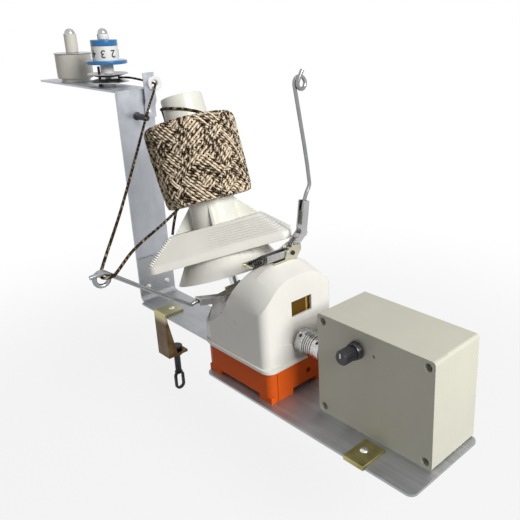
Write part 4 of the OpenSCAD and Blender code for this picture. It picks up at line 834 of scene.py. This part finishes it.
# sharp edges broken on the sheet metal and mouldings, each by its width in millimetres
edgeWidths = {
    "base_plate": 0.4, "riser_bracket": 0.5, "table_clamp": 1.2, "edge_bracket": 0.6, "right_bracket": 0.3,
    "left_bracket": 0.3, "winder_base": 0.7, "right_arm": 0.35, "left_arm": 0.35, "tension_dial": 0.9,
    "cup_body": 0.5, "cup_sleeve": 0.5, "eyelet_bracket": 0.4, "coupling": 0.25, "bobbin_cone": 0.5,
    "tension_post": 0.3, "dial_nut": 0.4, "eyelet_ring": 0.6, "riser_peg": 0.5, "cup_disc": 0.3,
    "clamp_screw": 0.6, "clamp_pad": 0.5, "box_body": 0.8, "rivets": 0.2,
}
brokenEdge = {"steps": 3, "angle": math.radians(40), "smooth": 35}


def rounded(node, width):
    piece = copyOf(node, node + "_rounded")
    bevel = piece.modifiers.new("brokenEdges", "BEVEL")
    bevel.width = width
    bevel.segments = brokenEdge["steps"]
    bevel.limit_method = "ANGLE"
    bevel.angle_limit = brokenEdge["angle"]
    bpy.ops.object.modifier_apply(modifier=bevel.name)
    smoothShade(piece, brokenEdge["smooth"])
    settle(piece, node)


for node, width in edgeWidths.items():
    rounded(node, width * mm)

# turned and bent pieces that only need smooth shading, up to an angle in degrees
smoothAngles = {"right_wire_guide": 50, "left_wire_guide": 50, "cup_screw": 50, "dial_screw": 50,
                "lower_disc": 12, "upper_disc": 12}


def smoothed(node, angle):
    piece = copyOf(node, node + "_smooth")
    smoothShade(piece, angle)
    dress(piece, finishNameOf[node])
    return piece


for node, angle in smoothAngles.items():
    handOver(smoothed(node, angle), node)

# the two springs, smooth shaded where they stand against the pieces that they press on
springs = {
    "smooth": 60,
    "arm": ((58, -33, 119.9), (58, -16.9, 121.6)),
    "tension": ((-241, 18, 261.9), (-241, 18, 249.9)),
}


def springPiece(node):
    piece = smoothed(node, springs["smooth"])
    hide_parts(node)
    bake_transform(piece)


springPiece("arm_spring")
springPiece("tension_spring")
print("edges broken and springs in place")


def softEdges(piece, wanted, width, steps, least):
    # rounds the outward edges whose middle, in millimetres, is wanted
    def outward(edge):
        if not edge.is_convex or edge.calc_face_angle(0) <= math.radians(least):
            return False
        return wanted((edge.verts[0].co + edge.verts[1].co) / 2 / mm)

    editEdges(piece, outward)
    bpy.ops.mesh.bevel(offset=width * mm, offset_type="OFFSET", segments=steps, profile=0.5, clamp_overlap=True)
    doneEditing()


def anywhere(middle):
    return True


# the hood has soft shoulders and crisp rims round its holes
hood = {
    "endX": 82.0, "holeDepth": 4, "window": (1.5, 80.0, 13.0, 9.0), "bore": 14.0,
    "driveZ": 49.0, "driveR": 10.0, "step": (25.8, 66.0), "stepDepth": 1.2,
    "shoulderZ": 56, "footZ": 40, "shoulder": (4.5, 6, 14), "rim": (0.5, 2, 40), "smooth": 40,
}


def nearHole(c):
    y, z, w, h = hood["window"]
    arm, axis = c - Vector(spindle["foot"]), Vector(spindle["axis"])
    off = (arm - axis * arm.dot(axis)).length
    atEnd = c.x > hood["endX"] - hood["holeDepth"]
    inWindow = atEnd and abs(c.y - y) < w and abs(c.z - z) < h
    inBore = atEnd and math.hypot(c.y, c.z - hood["driveZ"]) < hood["driveR"]
    inStep = c.x > hood["endX"] - hood["stepDepth"] and abs(c.y) < hood["step"][0] and c.z < hood["step"][1]
    return off < hood["bore"] or inWindow or inBore or inStep


cover = copyOf("winder_cover", "hoodShell")
softEdges(cover, lambda c: c.z > hood["shoulderZ"] and not nearHole(c), *hood["shoulder"])
softEdges(cover, lambda c: c.z < hood["footZ"] or nearHole(c), *hood["rim"])
smoothShade(cover, hood["smooth"])
settle(cover, "winder_cover")

# the lid of the motor box is soft round its outer edge
lid = {"faceY": -14.7, "x": (118.6, 232.4), "z": (2.6, 91.4), "rim": (2.2, 5, 30), "rest": (0.35, 2, 40), "smooth": 40}


def onLidRim(c):
    inside = lid["x"][0] <= c.x <= lid["x"][1] and lid["z"][0] <= c.z <= lid["z"][1]
    return c.y < lid["faceY"] and not inside


boxLid = copyOf("box_lid", "boxLid")
softEdges(boxLid, onLidRim, *lid["rim"])
softEdges(boxLid, anywhere, *lid["rest"])
smoothShade(boxLid, lid["smooth"])
settle(boxLid, "box_lid")


def addTube(name, start, end, radius, sides):
    bpy.ops.object.select_all(action="DESELECT")
    a, b = inMetres([start, end])
    bpy.ops.mesh.primitive_cylinder_add(vertices=sides, radius=radius * mm, depth=(b - a).length)
    piece = bpy.context.object
    piece.name = name
    piece.data.transform(Matrix.Translation((a + b) / 2) @ (b - a).to_track_quat("Z", "Y").to_matrix().to_4x4())
    return piece


# the control knob: a skirt, a fluted cap and a white pointer line
knob = {
    "x": 162, "z": 76, "edge": (0.35, 2, 40), "smooth": 40, "sides": 8,
    "flutes": 20, "fluteRing": 5.45, "fluteRadius": 0.5, "fluteY": (-22.5, -33.6),
    "pointerY": -35.05, "pointer": (0.6, 4.2), "pointerRadius": 0.4,
}


def knobFlutes():
    flutes = []
    for k in range(knob["flutes"]):
        turn = 2 * math.pi * k / knob["flutes"]
        x, z = knob["x"] + knob["fluteRing"] * math.cos(turn), knob["z"] + knob["fluteRing"] * math.sin(turn)
        foot, tip = ((x, y, z) for y in knob["fluteY"])
        flutes.append(addTube("flute", foot, tip, knob["fluteRadius"], knob["sides"]))
    return flutes


def knobPointer():
    start, end = ((knob["x"], knob["pointerY"], knob["z"] + rise) for rise in knob["pointer"])
    piece = addTube("knobPointer", start, end, knob["pointerRadius"], knob["sides"])
    dress(piece, "pointerWhite")
    return piece


knobBody = copyOf("speed_knob", "knobBody")
softEdges(knobBody, anywhere, *knob["edge"])
smoothShade(knobBody, knob["smooth"])
joinTo(knobBody, knobFlutes())
dress(knobBody, "knobBlack")
joinTo(knobBody, [knobPointer()])
handOver(knobBody, "speed_knob")

# the bobbin's paddle has small teeth on two hips and fine ribs on its front slope
paddle = {
    "edge": (0.8, 3, 24), "smooth": 40, "top": (27.2, 40.2, 86.1), "low": (40.9, 62.3, 64.9),
    "teeth": 14, "span": (0.07, 0.84), "long": 0.9, "wide": 2.4, "high": 1.9, "crest": 1.3, "sunk": 1.2,
    "slopeTop": (28.0, 36.5, 86.0), "slopeLow": (43.0, 55.0, 64.5), "ribs": range(30, 38), "pitch": 2.2, "phase": 0.25,
    "ribStart": -6.0, "ribWide": 0.6, "ribHigh": 0.35, "ribSunk": 0.1,
}
wedgeFaces = ((0, 1, 4), (2, 3, 5), (1, 2, 5, 4), (3, 0, 4, 5), (3, 2, 1, 0))


def hipTeeth():
    # each tooth is four foot corners and the two ends of its crest
    wedges = []
    topX, topY, topZ = paddle["top"]
    lowX, lowY, lowZ = paddle["low"]
    start, reach = paddle["span"]
    for side in (-1, 1):
        high, low = Vector((topX * side, -topY, topZ)), Vector((lowX * side, -lowY, lowZ))
        run = (low - high).normalized()
        across = run.cross(Vector((0, 0, 1))).normalized()
        up = across.cross(run)
        long, wide, crest = run * paddle["long"], across * paddle["wide"], across * paddle["crest"]
        for k in range(paddle["teeth"]):
            c = high.lerp(low, start + reach * k / (paddle["teeth"] - 1))
            foot, ridge = c - up * paddle["sunk"], c + up * paddle["high"]
            wedges.append((foot - long - wide, foot + long - wide, foot + long + wide, foot - long + wide,
                           ridge - crest, ridge + crest))
    return wedges


def slopeRibs():
    wedges = []
    high, low = Vector(paddle["slopeTop"]), Vector(paddle["slopeLow"])
    fall = Vector((low.x - high.x, 0, low.z - high.z)).normalized()
    out = Vector((-fall.z, 0, fall.x))
    wide, sunk, lift = fall * paddle["ribWide"], out * paddle["ribSunk"], out * paddle["ribHigh"]
    for k in paddle["ribs"]:
        height = (k + paddle["phase"]) * paddle["pitch"]
        end = high.lerp(low, (high.z - height) / (high.z - low.z))
        start = Vector((end.x, paddle["ribStart"], end.z))
        wedges.append((start - wide - sunk, start + wide - sunk, end + wide - sunk, end - wide - sunk,
                       start + lift, end + lift))
    return wedges


def wedgeMesh(name, wedges):
    verts, faces = [], []
    for wedge in wedges:
        first = len(verts)
        verts += [onSpindle(*corner, turned=True) for corner in wedge]
        faces += [tuple(first + i for i in face) for face in wedgeFaces]
    piece = meshPiece(name, verts, faces)
    editAll()
    bpy.ops.mesh.normals_make_consistent(inside=False)
    doneEditing()
    return piece


roof = copyOf("bobbin_paddle", "paddleRoof")
softEdges(roof, anywhere, *paddle["edge"])
smoothShade(roof, paddle["smooth"])
joinTo(roof, [wedgeMesh("paddleDetail", hipTeeth() + slopeRibs())])
settle(roof, "bobbin_paddle")

# the white band of the tension dial carries plain numbers, printed upside down
dial = {
    "centre": (-241 * mm, 18 * mm), "radius": 14.07 * mm, "middle": 275.6 * mm, "smooth": 40,
    "digits": "12345678", "size": 11.5 * mm, "bold": 0.12 * mm, "curveSteps": 4, "first": 54.0, "step": -45.0,
}


def numberOn(digit, angle):
    bpy.ops.object.select_all(action="DESELECT")
    bpy.ops.object.text_add()
    text = bpy.context.object.data
    text.body = digit
    text.size = dial["size"]
    text.offset = dial["bold"]
    text.align_x = "CENTER"
    text.align_y = "CENTER"
    text.resolution_u = dial["curveSteps"]
    bpy.ops.object.convert(target="MESH")
    piece = bpy.context.object
    x, y = dial["centre"]
    for v in piece.data.vertices:
        turn = math.radians(angle) - v.co.x / dial["radius"]
        out = Vector((math.cos(turn), math.sin(turn))) * dial["radius"]
        v.co = Vector((x + out.x, y + out.y, dial["middle"] - v.co.y))
    dress(piece, "numberInk")
    return piece


dialBand = copyOf("dial_ring", "dialBand")
smoothShade(dialBand, dial["smooth"])
dress(dialBand, "postWhite")
joinTo(dialBand, [numberOn(digit, dial["first"] + dial["step"] * k) for k, digit in enumerate(dial["digits"])])
handOver(dialBand, "dial_ring")
print("pieces finished")

# floor, room and lamps: the eye sees a pale room, and the part is lit by the lamps
studio = {
    "floorZ": -0.099, "floorSize": 6.0, "floorGrey": (0.4, 0.4, 0.4, 1), "floorRough": 0.9,
    "fade": {"From Min": 0.25, "From Max": 0.75, "To Min": 0.86, "To Max": 1.0},
    "roomLight": {"To Min": 0.17, "To Max": 1.0}, "aim": (0.02, 0, 0.12),
    "lamps": [("key", (1.55, -0.02, 1.06), 0.7, 35.0), ("fill", (-0.5, -1.6, 0.9), 1.6, 0.1),
              ("top", (0.0, 0.3, 1.9), 1.2, 1.2)],
}


def seenByEye(shading):
    rays = ("Is Camera Ray", "Is Glossy Ray", "Is Transmission Ray")
    camera, glossy, through = (shading.make("ShaderNodeLightPath", out=ray) for ray in rays)
    return camera.larger(glossy).larger(through)


def floorLook():
    look = Look("paleFloor", Base_Color=studio["floorGrey"], Roughness=studio["floorRough"])
    spot = look.make("ShaderNodeTexCoord", out="Object")
    reach = look.make("ShaderNodeVectorMath", {"operation": "LENGTH"}, {0: spot}, out="Value")
    fade = look.make("ShaderNodeMapRange", {"interpolation_type": "SMOOTHSTEP"}, {"Value": reach, **studio["fade"]})
    lit, glow = Wire(look, look.shader.outputs[0]), look.make("ShaderNodeEmission")
    both = look.make("ShaderNodeMixShader", None, {0: seenByEye(look) * fade, 1: lit, 2: glow})
    look.plug(look.tree.nodes["Material Output"].inputs["Surface"], both)
    return look.material


def addFloor():
    bpy.ops.object.select_all(action="DESELECT")
    bpy.ops.mesh.primitive_plane_add(size=studio["floorSize"], location=(0, 0, studio["floorZ"]))
    floor = bpy.context.object
    floor.name = "studioFloor"
    floor.data.materials.append(floorLook())


def addRoom():
    world = bpy.data.worlds.new("paleRoom")
    scene.world = world
    world.use_nodes = True
    room = Shading(world.node_tree)
    background = room.tree.nodes["Background"]
    room.plug(background.inputs["Color"], (1, 1, 1, 1))
    strength = room.make("ShaderNodeMapRange", None, {"Value": seenByEye(room), **studio["roomLight"]})
    room.plug(background.inputs["Strength"], strength)


def addLamps():
    for name, place, size, power in studio["lamps"]:
        data = bpy.data.lights.new(name, "AREA")
        data.size = size
        data.energy = power
        lamp = bpy.data.objects.new(name, data)
        lamp.location = place
        aim = Vector(studio["aim"]) - Vector(place)
        lamp.rotation_euler = aim.to_track_quat("-Z", "Y").to_euler()
        scene.collection.objects.link(lamp)


addFloor()
addRoom()
addLamps()
print("stage set")
